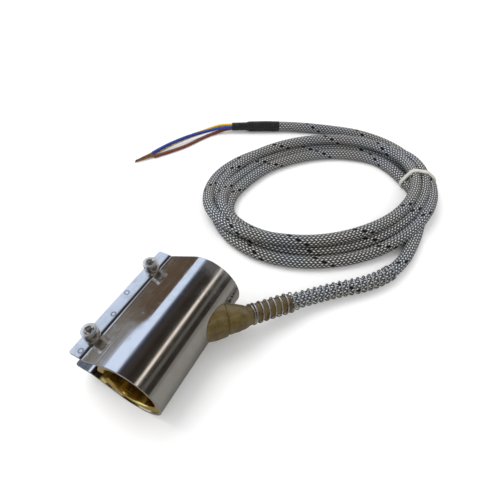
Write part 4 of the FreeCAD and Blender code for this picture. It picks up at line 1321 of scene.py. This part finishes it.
class HEATER_OT_stage(bpy.types.Operator):
    """Lay out the floor, lights, world and camera"""
    bl_idname = "heater.stage"
    bl_label = "Stage"

    def execute(self, context):
        scene = context.scene
        scene.view_settings.view_transform = "Standard"
        self.floor()
        self.world(scene)
        self.lights(scene)
        self.camera(scene)
        return {"FINISHED"}

    def floor(self):
        mesh = bpy.data.meshes.new("floor")
        size = 3.0
        corners = [(-size, -size, SURFACE_Z), (size, -size, SURFACE_Z), (size, size, SURFACE_Z),
                   (-size, size, SURFACE_Z)]
        mesh.from_pydata(corners, [], [(0, 1, 2, 3)])

        def build(g, surface):
            rays = g.add("ShaderNodeLightPath")
            grain = g.scale(g.noise(place_of(g), 8.0, 2.0), 0.3, 0.7, 0.985, 1.0)
            seen = g.mix(grain, (0.90, 0.90, 0.90, 1.0), (0.93, 0.93, 0.93, 1.0))
            g.feed(surface.inputs["Base Color"], g.mix(
                rays.outputs["Is Glossy Ray"], seen, (0.27, 0.26, 0.235, 1.0)))
            surface.inputs["Roughness"].default_value = 0.8
            surface.inputs["Specular IOR Level"].default_value = 0.1
        mesh.materials.append(finish("pale_floor", build))
        floor = bpy.data.objects.new("floor", mesh)
        bpy.context.scene.collection.objects.link(floor)

    def world(self, scene):
        """Plain white to look at, and a room with windows and dark corners for shiny parts to mirror."""
        world = bpy.data.worlds.new("soft_studio")
        world.use_nodes = True
        scene.world = world
        g = Graph(world.node_tree)
        background = next(n for n in world.node_tree.nodes if n.type == "BACKGROUND")
        rays = g.add("ShaderNodeLightPath")
        spread = g.add("ShaderNodeSeparateXYZ", {0: g.add("ShaderNodeTexCoord").outputs["Generated"]})
        ahead = spread.outputs[1]
        turn = g.math("DEGREES", g.math("ARCTAN2", spread.outputs[2], spread.outputs[0]))
        sway = g.math("MULTIPLY", g.math("SUBTRACT", g.noise(g.add("ShaderNodeCombineXYZ", {
            0: g.math("MULTIPLY", ahead, 3.0), 1: g.math("MULTIPLY", turn, 0.02)}).outputs[0], 2.0, 2.0),
            0.5), 5.0)
        steady = turn
        turn = g.math("ADD", turn, sway)
        ramp = g.add("ShaderNodeValToRGB", {0: g.scale(turn, -180.0, 180.0)})
        ramp.color_ramp.interpolation = "EASE"
        stops = ramp.color_ramp.elements
        while len(stops) > 1:
            stops.remove(stops[-1])
        stops[0].position, stops[0].color = 0.0, rgba(ROOM_BANDS[0][1])
        for angle, colour in ROOM_BANDS[1:]:
            stops.new((angle + 180.0) / 360.0).color = rgba(colour)
        high_edge = g.scale(ahead, 0.30, 0.34, 176.8, 153.0)
        window = g.math("MULTIPLY", g.scale(turn, 119.0, 127.0), g.scale(steady, high_edge, g.math(
            "SUBTRACT", high_edge, 2.5)))
        wall = g.math("MULTIPLY", g.scale(turn, 150.0, 157.0), g.scale(ahead, 0.30, 0.35))
        behind = g.math("MULTIPLY", g.scale(ahead, 0.50, 0.62), g.scale(spread.outputs[2], 0.05, 0.35))
        room = g.mix(wall, ramp.outputs[0], (0.13, 0.085, 0.055, 1.0))
        room = g.mix(window, room, (0.95, 1.10, 1.38, 1.0))
        room = g.mix(behind, room, (0.80, 0.82, 0.86, 1.0))
        plain = g.mix(rays.outputs["Is Glossy Ray"], (0.86, 0.86, 0.86, 1.0), room)
        g.feed(background.inputs["Color"], g.mix(rays.outputs["Is Camera Ray"], plain, (1.0, 1.0, 1.0, 1.0)))
        background.inputs["Strength"].default_value = 1.0

    def lights(self, scene):
        for name, place, size, power in (("key_panel", (-0.35, 0.1, 0.75), 0.5, 3.0),
                                         ("fill_panel", (0.5, -0.4, 0.6), 0.5, 1.5)):
            light = bpy.data.lights.new(name, "AREA")
            light.shape = "SQUARE"
            light.size = size
            light.energy = power
            lamp = bpy.data.objects.new(name, light)
            lamp.location = place
            lamp.visible_glossy = False
            aim = Vector((0.0, 0.08, 0.0)) - Vector(place)
            lamp.rotation_euler = aim.to_track_quat("-Z", "Y").to_euler()
            scene.collection.objects.link(lamp)

    def camera(self, scene):
        camera = bpy.data.cameras.new("camera")
        camera.lens = 29.28
        camera.sensor_width = 36.0
        camera.clip_start = 0.005
        holder = bpy.data.objects.new("camera", camera)
        holder.location = (0.071967, -0.063912, 0.155659)
        forward = Vector((-0.31096, 0.5823, -0.75115))
        holder.rotation_euler = forward.to_track_quat("-Z", "Y").to_euler()
        scene.collection.objects.link(holder)
        scene.camera = holder


class HEATER_PT_panel(bpy.types.Panel):
    """Sizes, colours and building steps of the band heater"""
    bl_idname = "HEATER_PT_panel"
    bl_label = "Band Heater"
    bl_space_type = "VIEW_3D"
    bl_region_type = "UI"
    bl_category = "Band Heater"

    def draw(self, context):
        settings = context.scene.band_heater
        for title, group in (("Band", settings.band), ("Lead", settings.lead),
                             ("Colours", settings.colours)):
            box = self.layout.box()
            box.label(text=title)
            for name in group.__annotations__:
                box.prop(group, name)
        column = self.layout.column(align=True)
        for operator in STEPS:
            column.operator(operator.bl_idname)


SETTINGS = (BandSizes, LeadSizes, FinishColours, HeaterSettings)
STEPS = (HEATER_OT_clamp_shell, HEATER_OT_brass_casing, HEATER_OT_inner_layers, HEATER_OT_clamp_screws,
         HEATER_OT_insulating_sleeve, HEATER_OT_spring, HEATER_OT_cable_tie, HEATER_OT_heat_shrink,
         HEATER_OT_lead, HEATER_OT_cores, HEATER_OT_stage)


def register():
    for item in SETTINGS + STEPS + (HEATER_PT_panel,):
        bpy.utils.register_class(item)
    bpy.types.Scene.band_heater = PointerProperty(type=HeaterSettings)


def unregister():
    del bpy.types.Scene.band_heater
    for item in reversed(SETTINGS + STEPS + (HEATER_PT_panel,)):
        bpy.utils.unregister_class(item)


def main():
    register()
    bpy.ops.heater.clamp_shell()
    bpy.ops.heater.brass_casing()
    bpy.ops.heater.inner_layers()
    bpy.ops.heater.clamp_screws()
    bpy.ops.heater.insulating_sleeve()
    bpy.ops.heater.spring()
    bpy.ops.heater.cable_tie()
    bpy.ops.heater.heat_shrink()
    bpy.ops.heater.lead()
    bpy.ops.heater.cores()
    bpy.ops.heater.stage()


if __name__ == "__main__":
    main()
